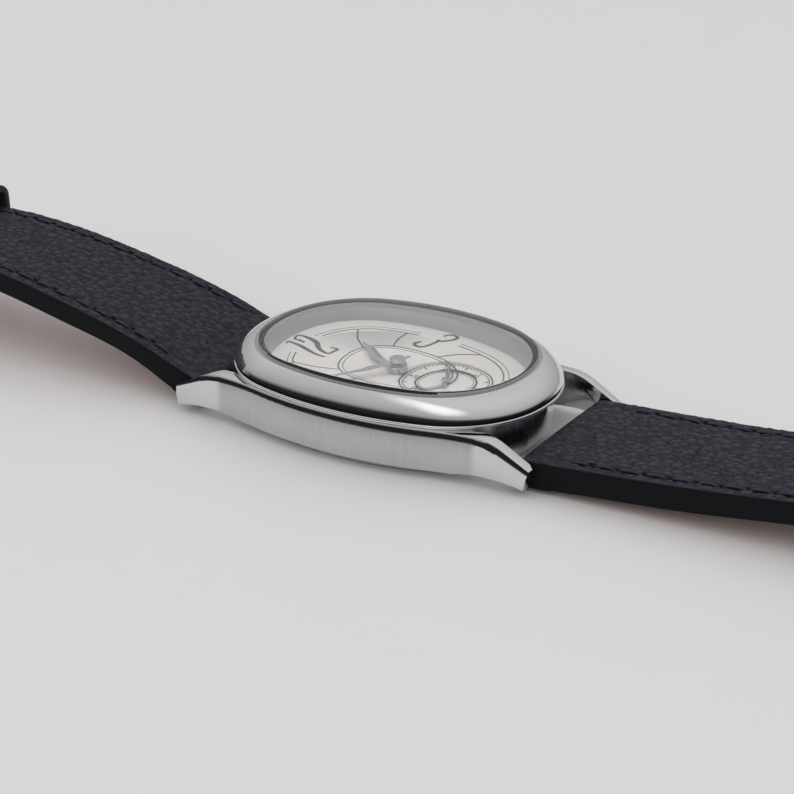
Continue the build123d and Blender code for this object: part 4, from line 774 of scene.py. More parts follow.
# Each stroke of a number: its places and its widths, with the number upright
NUMBER_STROKES = {
    "twelve": (
        (
            (
                (-0.77, 3.07), (-0.19, 3.12), (-0.25, 2.39), (-0.44, 1.41), (-0.84, 0.21),
                (-1.22, -0.85), (-1.48, -1.88), (-1.45, -2.83),
            ),
            (0.2, 0.28, 0.3, 0.42, 0.42, 0.34, 0.28, 0.2),
        ),
        (
            (
                (0.53, 1.31), (0.76, 2.11), (0.82, 2.87), (1.54, 3.15), (1.9, 2.97), (1.95, 2.24),
                (1.77, 1.38), (1.46, 0.51), (0.99, -0.18), (0.35, -0.7), (-0.17, -1.34),
                (-0.52, -2.14), (-0.53, -2.76), (0.13, -2.94), (0.84, -3.08), (0.91, -2.09),
            ),
            (0.26, 0.3, 0.24, 0.24, 0.26, 0.3, 0.4, 0.48, 0.5, 0.44, 0.36, 0.3, 0.24, 0.26, 0.28, 0.18),
        ),
    ),
    "three": (
        (
            (
                (-1.3, -1.0), (-1.68, -1.54), (-1.63, -2.1), (-0.92, -2.33), (-0.28, -1.8),
                (0.08, -0.73), (0.35, 0.32),
            ),
            (0.2, 0.34, 0.36, 0.3, 0.26, 0.26, 0.3),
        ),
        (
            (
                (0.02, 0.37), (0.58, 0.32), (1.25, 0.95), (1.72, 1.67), (1.65, 2.29), (0.96, 2.48),
                (0.36, 2.14), (0.23, 1.61),
            ),
            (0.28, 0.3, 0.28, 0.3, 0.34, 0.28, 0.24, 0.2),
        ),
    ),
    "nine": (
        (
            (
                (-1.5, -1.1), (-0.65, -1.74), (0.28, -1.93), (1.1, -1.5), (1.6, -0.5), (1.95, 0.7),
                (1.7, 1.9), (0.9, 2.35), (0.1, 1.8), (0.1, 1.0), (0.8, 0.55), (1.5, 0.85), (1.85, 1.3),
            ),
            (0.2, 0.32, 0.34, 0.26, 0.3, 0.34, 0.28, 0.24, 0.28, 0.3, 0.24, 0.22, 0.2),
        ),
    ),
}
# Distance of each number from the middle, and its turn from upright
NUMBER_SEATS = {"twelve": ((0, 11.7, 0), 0), "three": ((8.6, 0, 0), -pi / 2), "nine": ((-8.6, 0, 0), pi / 2)}
# Degrees that each hour line leans over between the rings
HOUR_TWISTS = {1: 12, 2: 14, 4: 14, 5: 12, 7: 12, 8: 14, 10: 14, 11: 12}


def clockwise(turn):
    """Give the heading at a turn from twelve."""
    return Vector((sin(turn), cos(turn)))


def beside_number(place):
    """Tell whether a place is taken by the twelve, the three or the nine."""
    upright = place.y > 0 and -1.9 < place.x < 2.4
    return upright or (abs(place.x) > 6 and -2.7 < place.y < 2.1)


def oval_lines(halves, inset, thick, low, high, numbered=False):
    """Print an oval line, in pieces that stop for the numbers if it is numbered."""
    line = [Vector(place) for place in oval(halves[0] - inset, halves[1] - inset)]
    free = [not (numbered and beside_number(place)) for place in line]
    start = free.index(False) if numbered else 0
    printed, run = [], []
    for step in range(len(line) + 1):
        index = (start + step) % len(line)
        if free[index]:
            run.append(line[index])
        if (not free[index] or step == len(line)) and len(run) > 1:
            printed.append(pen_line("oval_line", run, (thick, thick), low, high, 2))
            run = []
    return printed


def hour_lines(inner, outer, width, low, high, small_centre, small_radius):
    """Print the curved line of each hour that has no number and isn't over the small seconds."""
    printed, clearance, bow = [], 0.6, 0.07
    for hour, twist in HOUR_TWISTS.items():
        ends = []
        for halves, lean in ((inner, -twist / 2), (outer, twist / 2)):
            heading = clockwise(radians(hour * 30 + lean))
            places = (Vector(place) for place in oval(*halves))
            ends.append(max(places, key=lambda place: place.normalized().dot(heading)))
        start, end = ends
        middle = (start + end) / 2 + (end - start).orthogonal() * bow
        if (middle - small_centre).length >= small_radius + clearance:
            widths = (width, width * 1.3, width)
            printed.append(pen_line("hour_line", (start, middle, end), widths, low, high))
    return printed


def small_seconds(centre, radius, width, low, high):
    """Print the rings, crescents, minute marks and plain numbers of the small seconds."""
    printed, track, number_inset, number_size = [], 0.35, 1.45, 0.95
    for middle, thick in ((radius, 1.1), (radius - track, 0.6), (3.5, 1.5), (3.15, 0.5)):
        half = width * thick / 2
        corners = ((middle - half, low), (middle - half, high), (middle + half, high), (middle + half, low))
        rings = [round_ring(reach, height, 96, centre) for reach, height in corners]
        printed.append(shell("round_line", rings, closed=True, smooth=0))
    turns, bow_radius = (-0.75, -0.4, 0, 0.4, 0.75), 3.72
    for side in (-1, 1):
        bow = [(side * bow_radius * cos(turn), bow_radius * sin(turn) + centre.y) for turn in turns]
        printed.append(pen_line("crescent", bow, (0.05, 0.35, 0.5, 0.35, 0.05), low, high + 0.002))
    for step in range(60):
        reach, share = (0.95, 1.1) if step % 5 == 0 else (0.6, 0.55)
        heading = clockwise(TURN * step / 60)
        ends = (centre + heading * (radius - reach), centre + heading * (radius - track))
        printed.append(pen_line("tick", ends, (width * share, width * share), low, high, 1))
    for number in range(10, 70, 10):
        turn = TURN * number / 60
        deselect()
        bpy.ops.object.text_add()
        text = bpy.context.object
        text.data.body = str(number)
        text.data.size = number_size * MM
        text.data.align_x = text.data.align_y = "CENTER"
        text.data.extrude = 0.006 * MM
        bpy.ops.object.convert(target="MESH")
        text = bpy.context.object
        spot = (centre + clockwise(turn) * (radius - number_inset)).to_3d() + Vector((0, 0, low + 0.007))
        text.data.transform(Matrix.Translation(spot * MM) @ Matrix.Rotation(-turn, 4, "Z"))
        printed.append(text)
    return printed


class WATCH_OT_dial(bpy.types.Operator):
    """Dress the dial, model its sloping flange and print its rings, hour lines and numbers"""

    bl_idname = "watch.dial"
    bl_label = "Dial"

    def execute(self, context):
        sizes, case = context.scene.watch_dial, context.scene.watch_case
        colours = context.scene.watch_finishes
        dress(silvered(sizes, colours), "dial")
        low, thickness, width = mm(sizes.dial_top), mm(sizes.ink_height), mm(sizes.line_width)
        high = low + thickness

        foot = [half - 0.05 for half in half_sizes(case, "cavity")]
        flange_top = mm(case.seat_floor)
        rings = [
            drawn_in(foot, 0, low),
            drawn_in(foot, 1.0, low + 0.01),
            drawn_in(foot, 0.96, low + 0.1),
            drawn_in(foot, 0.33, flange_top - 0.1),
            drawn_in(foot, 0.26, flange_top),
            drawn_in(foot, 0, flange_top),
        ]
        silver = finish("flange_silver", (0.95, 0.905, 0.88), 0.35, 0.1, (900, 900, 200), 0.12, 0.1, 0.05)
        settle(shell("sloping_flange", rings, closed=True), "case", silver, "dial_flange")

        outer, inner = half_sizes(sizes, "outer"), half_sizes(sizes, "inner")
        centre, radius = Vector((0, -mm(sizes.seconds_y))), mm(sizes.seconds_radius)
        printed = oval_lines(outer, 0, width, low, high, numbered=True)
        printed += oval_lines(outer, -0.6, width * 0.6, low, high, numbered=True)
        printed += oval_lines(inner, 0, width, low, high)
        printed += oval_lines(inner, 0.5, width * 0.6, low, high)
        printed += hour_lines(inner, outer, width, low, high, centre, radius)
        for number, strokes in NUMBER_STROKES.items():
            spot, turn = NUMBER_SEATS[number]
            seat = Matrix.Translation(spot) @ Matrix.Rotation(turn, 4, "Z")
            for places, widths in strokes:
                points = [(seat @ Vector((*place, 0))).to_2d() for place in places]
                printed.append(pen_line("number", points, [thick * 1.35 for thick in widths], low, high, 5))
        sunk = low - 0.1
        printed += small_seconds(centre, radius, width, sunk, sunk + thickness)
        ink = finish("dial_ink", colours.ink, 0.4, 0.0, (3000, 3000, 3000), 0.2, 0.1, 0.3)
        settle(join("dial_print", printed), "case", ink)
        return {"FINISHED"}


def ridged(name, path, widths, angle, low, centre):
    """Model a hand with a ridge along its middle, at an angle clockwise from twelve."""
    turned = Matrix.Translation((*centre, 0)) @ Matrix.Rotation(-radians(angle), 4, "Z")
    edge, ridge = low + 0.05, low + 0.15
    rings = []
    for place, left, right in broad_line(path, widths, 8):
        ring = ((*left, low), (*left, edge), (*place, ridge), (*right, edge), (*right, low))
        rings.append([tuple(turned @ Vector(point)) for point in ring])
    return shell(name, rings, capped=True, smooth=0)


def hub(radius, low, high, centre):
    """Model a hub that is domed and stepped."""
    steps = (
        (radius, low), (radius, high - 0.14), (radius - 0.05, high - 0.07), (radius * 0.78, high - 0.05),
        (radius * 0.74, high), (radius * 0.45, high + 0.03),
    )
    return shell("hub", [round_ring(reach, z, 48, centre) for reach, z in steps], capped=True, smooth=30)


class WATCH_OT_hands(bpy.types.Operator):
    """Model the ridged hour, minute and seconds hands with their hubs"""

    bl_idname = "watch.hands"
    bl_label = "Hands"

    def execute(self, context):
        sizes, colours = context.scene.watch_dial, context.scene.watch_finishes
        steel = finish("hand_steel", colours.hands, 0.34, 1.0, (600, 600, 600), 0.1, 0.1, 0.1)
        middle, small = (0, 0), (0, -mm(sizes.seconds_y))
        minute_turn, seconds_turn = 296, 66
        # Body, path and widths of each blade, its turn, height and middle, then the sizes of its hub
        hands = {
            "hour": (
                "hour",
                ((0, 0), (-0.6, 1.6), (-0.7, 3.3), (-0.2, 5.2), (0, mm(sizes.hour_length))),
                (0.5, 0.6, 0.95, 1.1, 0.8, 0.12),
                (minute_turn / 12, 6.0, middle),
                (1.15, 5.64, 6.2, middle),
            ),
            "minute": (
                "centre",
                ((0, -1.7), (0, 0), (0, 4.5), (0, mm(sizes.minute_length))),
                (0.35, 0.5, 0.5, 0.85, 0.6, 0.1),
                (minute_turn, 6.45, middle),
                (0.95, 6.45, 6.72, middle),
            ),
            "seconds": (
                "seconds",
                ((0, -2.2), (0, -1.1), (0, 0), (0, 2.0), (0, mm(sizes.seconds_length))),
                (0.2, 0.6, 0.34, 0.3, 0.5, 0.1),
                (seconds_turn, 5.77, small),
                (0.55, 5.77, 6.05, small),
            ),
        }
        for name, (body, path, widths, seat, hub_sizes) in hands.items():
            blade = ridged(f"{name}_blade", path, widths, *seat)
            settle(join(f"{name}_hand_blade", [blade, hub(*hub_sizes)]), body, steel, f"{name}_hand")
        return {"FINISHED"}


class WATCH_OT_crown(bpy.types.Operator):
    """Model the fluted winding crown"""

    bl_idname = "watch.crown"
    bl_label = "Crown"

    def execute(self, context):
        count, flutes, height = 160, 20, 2.9

        def ring(x, radius, depth=0.0):
            """Give a ring across the stem, with flutes of a depth."""
            points = []
            for step in range(count):
                turn = TURN * step / count
                reach = radius - depth * (0.5 - 0.5 * cos(flutes * turn)) ** 1.5
                points.append((x, reach * cos(turn), height + reach * sin(turn)))
            return points

        # Along the stem: from the hollow inner face over the fluted rim to the domed end
        rings = [
            ring(16.6, 0.45), ring(16.6, 1.3), ring(14.85, 1.3), ring(14.85, 2.15),
            ring(14.93, 2.3), ring(15.05, 2.42), ring(15.15, 2.5, 0.12), ring(15.3, 2.58, 0.24),
            ring(17.35, 2.58, 0.24), ring(17.55, 2.5, 0.16), ring(17.7, 2.4, 0.04),
            ring(17.82, 2.28), ring(17.98, 1.9), ring(18.1, 1.3), ring(18.18, 0.6), ring(18.2, 0.05),
        ]
        crown = shell("fluted_crown", rings, capped=True)
        settle(crown, "crown", polished_steel(context.scene.watch_finishes), "crown")
        return {"FINISHED"}


# Strap

# Place and height of the bars that the halves turn on, and radius of the leather round them
BAR, BAR_NOSE = (22.4, 2.0), 1.6
BUCKLE, BUCKLE_NOSE = (93.0, 1.45), 1.4
# Distance along the strap and height of places on the upper and lower faces of both halves
TAIL_TOP = ((30, 4.1), (40, 4.75), (54, 6.1), (66, 6.9), (80, 6.7), (95, 5.2), (110, 3.3), (125, 2.45))
TAIL_BOTTOM = (
    (30, 1.0), (40, 1.75), (54, 3.35), (66, 4.25), (80, 4.15), (95, 2.75), (110, 0.95), (125, 0.12)
)
SHORT_TOP = ((30, 6.45), (41, 9.2), (52, 11.2), (60, 12.0), (67, 12.05), (75, 10.75), (83, 7.9), (89, 4.9))
SHORT_BOTTOM = (
    (30, 3.65), (41, 6.45), (52, 8.5), (60, 9.35), (67, 9.4), (75, 8.15), (81, 6.1), (87.5, 2.8)
)
TAIL_TIP, TAIL_SHOULDER = 140.0, 130.0
# The two arcs of the pointed tip: middle of the right-hand one, and radius
TIP_CENTRE, TIP_RADIUS = (-2.806, 129.556), 10.815
GRAIN_START = 24.0
LINING_START = 25.5
LINING_ENDS = {"tail": 139.0, "short half": 85.0}
# Places along the strap between which its width changes evenly
WIDTH_PLACES = (27, 50, 90)
HOLE_RADIUS = 0.9
HOLES = [115.0 - 6.5 * index for index in range(7)]
SLOT_START, SLOT_END, SLOT_HALF_WIDTH = 90.3, 96, 1.35


def smooth_height(places, start_slope, end_slope):
    """Give the height along the strap as a smooth curve through places, with set end slopes."""
    y = numpy.array([place[0] for place in places], dtype=float)
    z = numpy.array([place[1] for place in places], dtype=float)
    gap = numpy.diff(y)
    grade = numpy.diff(z) / gap
    count = len(y)
    matrix, known = numpy.zeros((count, count)), numpy.zeros(count)
    matrix[0, :2] = 2 * gap[0], gap[0]
    known[0] = 6 * (grade[0] - start_slope)
    matrix[-1, -2:] = gap[-1], 2 * gap[-1]
    known[-1] = 6 * (end_slope - grade[-1])
    for index in range(1, count - 1):
        matrix[index, index - 1 : index + 2] = gap[index - 1], 2 * (gap[index - 1] + gap[index]), gap[index]
        known[index] = 6 * (grade[index] - grade[index - 1])
    bend = numpy.linalg.solve(matrix, known)

    def height(at):
        """Give the height at one place along the strap."""
        index = int(numpy.clip(numpy.searchsorted(y, at) - 1, 0, count - 2))
        step = at - y[index]
        first = grade[index] - gap[index] * (2 * bend[index] + bend[index + 1]) / 6
        third = (bend[index + 1] - bend[index]) / (6 * gap[index])
        return float(z[index] + step * (first + step * (bend[index] / 2 + step * third)))

    return height


class StrapHalf:
    """Side view and width of one half of the strap, measured away from the case."""

    def __init__(self, sizes, tail):
        """Take the lines of the tail or of the short half."""
        self.tail = tail
        self.sizes = sizes
        self.slope = 0.07 if tail else 0.36
        self.end_slope = 0 if tail else -0.5
        self.side = -1 if tail else 1
        self.far = TAIL_TIP if tail else BUCKLE[0] + BUCKLE_NOSE
        self.lining_end = LINING_ENDS["tail" if tail else "short half"]
        top, bottom = (TAIL_TOP, TAIL_BOTTOM) if tail else (SHORT_TOP, SHORT_BOTTOM)
        self.top_start, self.bottom_start = (
            self.on_nose(BAR, BAR_NOSE, self.slope, side) for side in (1, -1)
        )
        if tail:
            self.top_end, self.bottom_end = (TAIL_TIP, 2.35), (TAIL_TIP, 0.0)
        else:
            self.top_end, self.bottom_end = (
                self.on_nose(BUCKLE, BUCKLE_NOSE, self.end_slope, side) for side in (1, -1)
            )
        self.top_line = smooth_height((self.top_start, *top, self.top_end), self.slope, self.end_slope)
        self.bottom_line = smooth_height(
            (self.bottom_start, *bottom, self.bottom_end), self.slope, self.end_slope
        )

    @staticmethod
    def on_nose(centre, radius, slope, side):
        """Give the point of a nose circle above or below a sloping strap."""
        turn = atan2(slope, 1)
        return centre[0] - side * radius * sin(turn), centre[1] + side * radius * cos(turn)

    def face(self, y, side):
        """Give the height of the upper (1) or lower (-1) face."""
        start = self.top_start if side == 1 else self.bottom_start
        end = self.top_end if side == 1 else self.bottom_end
        if y <= start[0]:
            return BAR[1] + side * sqrt(max(BAR_NOSE**2 - (y - BAR[0]) ** 2, 0))
        if not self.tail and y > end[0]:
            return BUCKLE[1] + side * sqrt(max(BUCKLE_NOSE**2 - (y - BUCKLE[0]) ** 2, 0))
        return (self.top_line if side == 1 else self.bottom_line)(y)

    def half_width(self, y):
        """Give half the strap's width."""
        sizes = self.sizes
        widths = [mm(width) for width in (sizes.half_width, sizes.middle_half_width, sizes.end_half_width)]
        if self.tail and y > TAIL_SHOULDER:
            return max(TIP_CENTRE[0] + sqrt(max(TIP_RADIUS**2 - (y - TIP_CENTRE[1]) ** 2, 0)), 0)
        return float(numpy.interp(y, WIDTH_PLACES, widths))

    def stations(self, step, near=None, far=None):
        """Give the places along the half, closer together on its round ends."""
        near = BAR[0] - BAR_NOSE if near is None else near
        far = self.far if far is None else far
        start = min(near + 1.0, BAR[0]) if near < BAR[0] else near
        places = [near + (start - near) * (1 - cos(pi / 2 * index / 7)) for index in range(7)]
        stop = TAIL_SHOULDER if self.tail and far > TAIL_SHOULDER else far - BUCKLE_NOSE
        count = int((stop - start) / step)
        places += [start + (stop - start) * index / count for index in range(count)]
        places += [stop + (far - stop) * sin(pi / 2 * index / 36) for index in range(37)]
        return places

    def flank(self, stations, side, height):
        """Give the ring down the middle of a side face, at the height that a function gives."""
        middle = [(self.half_width(y) * side, y * self.side, height(y)) for y in stations]
        return middle + middle[::-1]


def pebble_share(x, y, size):
    """Give how far a place of the leather rises from the creases (0) to the pebbles' tops (1)."""
    near = noise.voronoi(Vector((x / size, y / (size * 1.3), 0.37)))[0]
    gap = min((near[1] - near[0]) / 0.4, 1)
    return gap * (1.6 - 0.6 * gap) * (1 - 0.45 * min(near[0], 1) ** 2)


def strap_leather(sizes, half, name):
    """Model one half's leather: rounded edges, seam grooves and pebbles."""
    stations = half.stations(0.3)
    rounding = mm(sizes.edge_round)
    seam, depth = mm(sizes.seam_inset), mm(sizes.seam_depth)
    pebble, tall = mm(sizes.pebble), mm(sizes.pebble_height)
    lining = mm(sizes.lining)
    rounded = []
    for step in range(5):
        turn = pi / 2 * step / 4
        rounded.append((rounding * (1 - cos(turn)), rounding * (1 - sin(turn))))
    grooved = [
        (seam - 0.95, 0.0), (seam - 0.65, 0.0), (seam - 0.45, depth * 0.15), (seam - 0.25, depth * 0.75),
        (seam, depth), (seam + 0.25, depth * 0.75), (seam + 0.45, depth * 0.15), (seam + 0.65, 0.0),
    ]
    across = rounded + grooved
    first, inner_steps = seam + 0.65, 52
    groove_reach, needle_reach, needle_depth, swelling = 0.5, 0.45, 0.3, 0.12
    needle = [y + mm(sizes.stitch_pitch) / 2 for _, y, _, _ in seam_steps(sizes, half, 1)]

    def underside(y):
        """Give the height of the leather's lower face, which lies on the lining where there is one."""
        return half.face(y, -1) + (lining if LINING_START < y < half.lining_end else 0)

    def section(inset, drop, side, share=None):
        """Give the ring along the half at one distance from its edge."""
        upper, lower = [], []
        for y in stations:
            wide = half.half_width(y)
            x = max(wide - inset, 0)
            if share is not None:
                x = max(wide - first, 0) * share
            x *= side
            top, bottom = half.face(y, 1), underside(y)
            room = max(top - bottom, 0)
            # Rings that have reached the middle line meet there, so that the tip is closed
            fall = min(drop, room * 0.45) if x else 0
            if y > GRAIN_START and room > 1.0 and abs(x) > 0:
                free = min((y - GRAIN_START) / 2, 1) * min(inset / rounding, 1) if share is None else 1
                groove = 1 - min(abs(wide - abs(x) - seam) / groove_reach, 1)
                grain = tall * (pebble_share(x, y * half.side, pebble) - 0.75)
                fall -= grain * free * (1 - 0.8 * groove)
                if groove > 0.4 and needle:
                    nearest = min(abs(y - place) for place in needle)
                    fall += needle_depth * max(1 - nearest / needle_reach, 0)
            swell = swelling * (1 - min(abs(x) / max(wide, 0.1), 1) ** 2) if room > 1.0 else 0
            upper.append((x, y * half.side, top - fall + swell))
            lower.append((x, y * half.side, bottom))
        return upper + lower[::-1]

    flanks = [half.flank(stations, side, lambda y: (half.face(y, 1) + underside(y)) / 2) for side in (1, -1)]
    rings = flanks[:1] + [section(inset, drop, 1) for inset, drop in across]
    shares = [1 - 2 * step / inner_steps for step in range(1, inner_steps)]
    rings += [section(0, 0, 1, share) for share in shares]
    rings += [section(inset, drop, -1) for inset, drop in reversed(across)] + flanks[1:]
    leather = shell(name, rings, smooth=60)
    mark_pebbles(leather, pebble)
    return leather


def mark_pebbles(piece, size, level=0.0):
    """Note on every vertex how far it rises from the creases, for the leather's colour with its painted
    shade in the creases.
    """
    marks = piece.data.attributes.new("pebble", "FLOAT", "POINT")
    places = (vertex.co / MM for vertex in piece.data.vertices)
    marks.data.foreach_set("value", [max(pebble_share(place.x, place.y, size), level) for place in places])


def strap_lining(sizes, half, name):
    """Model one half's lining, a band under the leather with slightly rounded lower edges."""
    stations = half.stations(1.2, LINING_START, half.lining_end)
    thick = mm(sizes.lining)

    def section(inset, drop, side):
        """Give the ring along the lining at one distance from its edge."""
        lower, upper = [], []
        for y in stations:
            x, z = max(half.half_width(y) - inset, 0) * side, half.face(y, -1)
            lower.append((x, y * half.side, z + drop))
            upper.append((x, y * half.side, z + thick - 0.005))
        return upper + lower[::-1]

    flanks = [half.flank(stations, side, lambda y: half.face(y, -1) + thick / 2) for side in (1, -1)]
    insets = ((0, 0.15), (0.12, 0.03), (0.3, 0), (3, 0), (6, 0))
    rings = flanks[:1] + [section(inset, drop, 1) for inset, drop in insets]
    rings += [section(inset, drop, -1) for inset, drop in reversed(insets)] + flanks[1:]
    return shell(name, rings, smooth=50)


def seam_path(sizes, half, side):
    """Give the line of one seam, from near the case to the far end."""
    inset = mm(sizes.seam_inset)
    far = TAIL_SHOULDER if half.tail else 86.5
    line = [(side * (half.half_width(y) - inset), y) for y in numpy.arange(26.8, far, 0.25)]
    if half.tail:
        radius = TIP_RADIUS - inset
        last = atan2(sqrt(radius**2 - TIP_CENTRE[0] ** 2), -TIP_CENTRE[0])
        for step in range(60):
            turn = last * step / 59
            line.append((side * (TIP_CENTRE[0] + radius * cos(turn)), TIP_CENTRE[1] + radius * sin(turn)))
    return line


def seam_steps(sizes, half, side):
    """Give the short steps of a seam in which a stitch has its middle."""
    pitch = mm(sizes.stitch_pitch)
    line = seam_path(sizes, half, side)
    steps, run, due = [], 0.0, pitch / 2
    for (x0, y0), (x1, y1) in zip(line, line[1:]):
        run += sqrt((x1 - x0) ** 2 + (y1 - y0) ** 2)
        if run >= due:
            steps.append((x0, y0, x1, y1))
            due += pitch
    return steps


def stitch_places(sizes, half):
    """Give the place of every stitch as a matrix."""
    places = []
    for side in (1, -1):
        for x0, y0, x1, y1 in seam_steps(sizes, half, side):
            z0, z1 = half.face(y0, 1), half.face(y1, 1)
            heading = Vector((x1 - x0, (y1 - y0) * half.side, z1 - z0)).normalized()
            sideways = heading.cross(Vector((0, 0, 1))).normalized()
            turned = Matrix((sideways, heading, sideways.cross(heading))).transposed().to_4x4()
            spot = Vector((x0, y0 * half.side, z0 - mm(sizes.seam_depth) + 0.12)) * MM
            places.append(Matrix.Translation(spot) @ turned)
    return places


def stitches(sizes, half, name):
    """Model one stitch, a thread that dives into the leather at both ends, and copy it along the seams."""
    thread, reach = mm(sizes.thread_radius), mm(sizes.stitch_length) / 2
    rings = []
    for step in range(13):
        share = step / 12 * 2 - 1
        radius = thread * (1 - abs(share) ** 6 * 0.65)
        lift = thread * 0.9 * (1 - share**4) - 0.12
        y = share * reach
        rings.append(
            [(radius * cos(TURN * k / 10), y, lift + radius * 0.75 * sin(TURN * k / 10)) for k in range(10)]
        )
    return copies(name, shell("stitch", rings, capped=True, smooth=60), stitch_places(sizes, half))


def punch(y):
    """Model the punch of one hole, its corners a little beside the leather's middle line."""
    deselect()
    bpy.ops.mesh.primitive_cylinder_add(
        vertices=22, radius=HOLE_RADIUS * MM, depth=13 * MM, rotation=(0, 0, pi / 2)
    )
    piece = bpy.context.object
    piece.location = Vector((0.011, -y, 5.5)) * MM
    return piece


class WATCH_OT_strap(bpy.types.Operator):
    """Model both halves of the leather strap, with their linings, edges, holes and stitches"""

    bl_idname = "watch.strap"
    bl_label = "Strap"

    def execute(self, context):
        sizes, colours = context.scene.watch_strap, context.scene.watch_finishes
        leather = grained_leather(colours)
        paint = finish("edge_paint", colours.edge_paint, 0.55, 0.0, (1500, 400, 1500), 0.15, 0.12, 0.3, 0.12)
        brown = finish("lining_leather", colours.lining, 0.6, 0.0, (900, 700, 900), 0.2, 0.35, 0.25)
        thread = finish("thread", colours.thread, 0.5, 0.0, (1500, 6000, 1500), 0.2, 0.6, 0.4)
        for tail, word in ((False, "twelve"), (True, "six")):
            half = StrapHalf(sizes, tail)
            body = f"strap_{word}"
            upper = strap_leather(sizes, half, f"{word}_leather")
            under = strap_lining(sizes, half, f"{word}_lining")
            if tail:
                for piece in (upper, under):
                    cut(piece, join("punches", [punch(y) for y in HOLES]))
            else:
                sides = ((-1, SLOT_START), (1, SLOT_START), (1, SLOT_END), (-1, SLOT_END))
                rings = [[(side * SLOT_HALF_WIDTH, y, z) for side, y in sides] for z in (-1, 9)]
                cut(upper, shell("slot", rings, capped=True, smooth=0))
            settle(upper, body, leather, f"strap_{word}_leather")
            paint_faces(upper, paint, lambda face: abs(face.normal.x) > 0.75)
            settle(under, body, brown, f"strap_{word}_lining")
            paint_faces(under, paint, lambda face: abs(face.normal.x) > 0.2)
            settle(stitches(sizes, half, f"{word}_stitches"), body, thread)
        return {"FINISHED"}


class WATCH_OT_keepers(bpy.types.Operator):
    """Model the sliding keeper and the fixed keeper as leather loops"""

    bl_idname = "watch.keepers"
    bl_label = "Keepers"

    def execute(self, context):
        leather = grained_leather(context.scene.watch_finishes)
        wall, wide, inner_height, corner = 1.0, 4.5, 5.1, 0.6

        def loop(half_x, half_z, radius):
            """Give a rectangle with round corners across the strap."""
            points = []
            for sx, sz, start in ((1, 1, 0), (-1, 1, 1), (-1, -1, 2), (1, -1, 3)):
                for step in range(7):
                    turn = pi / 2 * (start + step / 6)
                    x, z = sx * (half_x - radius), sz * (half_z - radius)
                    points.append((x + radius * cos(turn), z + radius * sin(turn)))
            return points

        edge, half = 0.3, wide / 2
        nick = edge * 0.3
        upper = [
            (0.0, half - edge), (nick, half - nick), (edge, half),
            (wall - edge, half), (wall - nick, half - nick), (wall, half - edge),
        ]
        profile = upper + [(out, -along) for out, along in reversed(upper)]
        for name, body, node, (y, z), slope, half_x in (
            ("sliding_loop", "sliding_keeper", "sliding_keeper", (68.0, 11.2), -0.07, 9.15),
            ("fixed_loop", "strap_twelve", "fixed_keeper", (82.0, 7.7), -0.46, 8.5),
        ):
            along_strap, outwards = Vector((1, slope)).normalized(), Vector((-slope, 1)).normalized()
            rings = []
            for out, along in profile:
                outline = loop(half_x + out, inner_height / 2 + out, corner + out)
                rings.append(
                    [(x, *(Vector((y, z)) + along_strap * along + outwards * rise)) for x, rise in outline]
                )
            piece = shell(name, rings, closed=True, smooth=50)
            mark_pebbles(piece, 0.9, 0.5)
            settle(piece, body, leather, node)
        return {"FINISHED"}


class WATCH_OT_buckle(bpy.types.Operator):
    """Dress the pin buckle: its frame, tongue and bar, with softened edges"""

    bl_idname = "watch.buckle"
    bl_label = "Buckle"

    def execute(self, context):
        colours = context.scene.watch_finishes
        steel = polished_steel(colours)
        settle(eased("buckle_frame", 0.25, "buckle_loop"), "buckle", steel, "buckle_frame")
        settle(eased("buckle_tongue", 0.12, "buckle_pin"), "tongue", steel, "buckle_tongue")
        dress(satin_steel(colours), "buckle_bar", "lug_spring_bars")
        return {"FINISHED"}


class WATCH_OT_movement(bpy.types.Operator):
    """Dress the movement: plates, bridges, wheels, springs, stem and screws"""

    bl_idname = "watch.movement"
    bl_label = "Movement"

    def execute(self, context):
        colours = context.scene.watch_finishes
        plate = finish("plate_brass", colours.brass, 0.34, 1.0, (1200, 1200, 1200), 0.2, 0.2, 0.12)
        wheel = finish("wheel_brass", colours.brass, 0.2, 1.0, (2400, 2400, 300), 0.12, 0.12, 0.1)
        bridge = finish("bridge_steel", (0.66, 0.66, 0.65), 0.24, 1.0, (120, 2400, 300), 0.2, 0.25, 0.15)
        holder = finish("holder_plastic", (0.62, 0.62, 0.58), 0.5, 0.0, (700, 700, 700), 0.1, 0.1, 0.06)
        dress(plate, "main_plate")
        dress(wheel, "barrel", "centre_wheel", "third_wheel", "seconds_wheel", "balance_wheel")
        dress(wheel, "minute_wheel", "hour_wheel")
        dress(bridge, "barrel_bridge", "train_bridge", "balance_cock")
        dress(holder, "movement_holder")
        small_pieces = (
            "movement_screws", "case_back_screws", "barrel_arbor", "mainspring", "ratchet_wheel",
            "crown_wheel", "escape_wheel", "pallet_fork", "balance_spring", "cannon_pinion", "crown_tube",
            "winding_stem", "sliding_pinion", "winding_pinion",
        )
        dress(satin_steel(colours), *small_pieces)
        return {"FINISHED"}


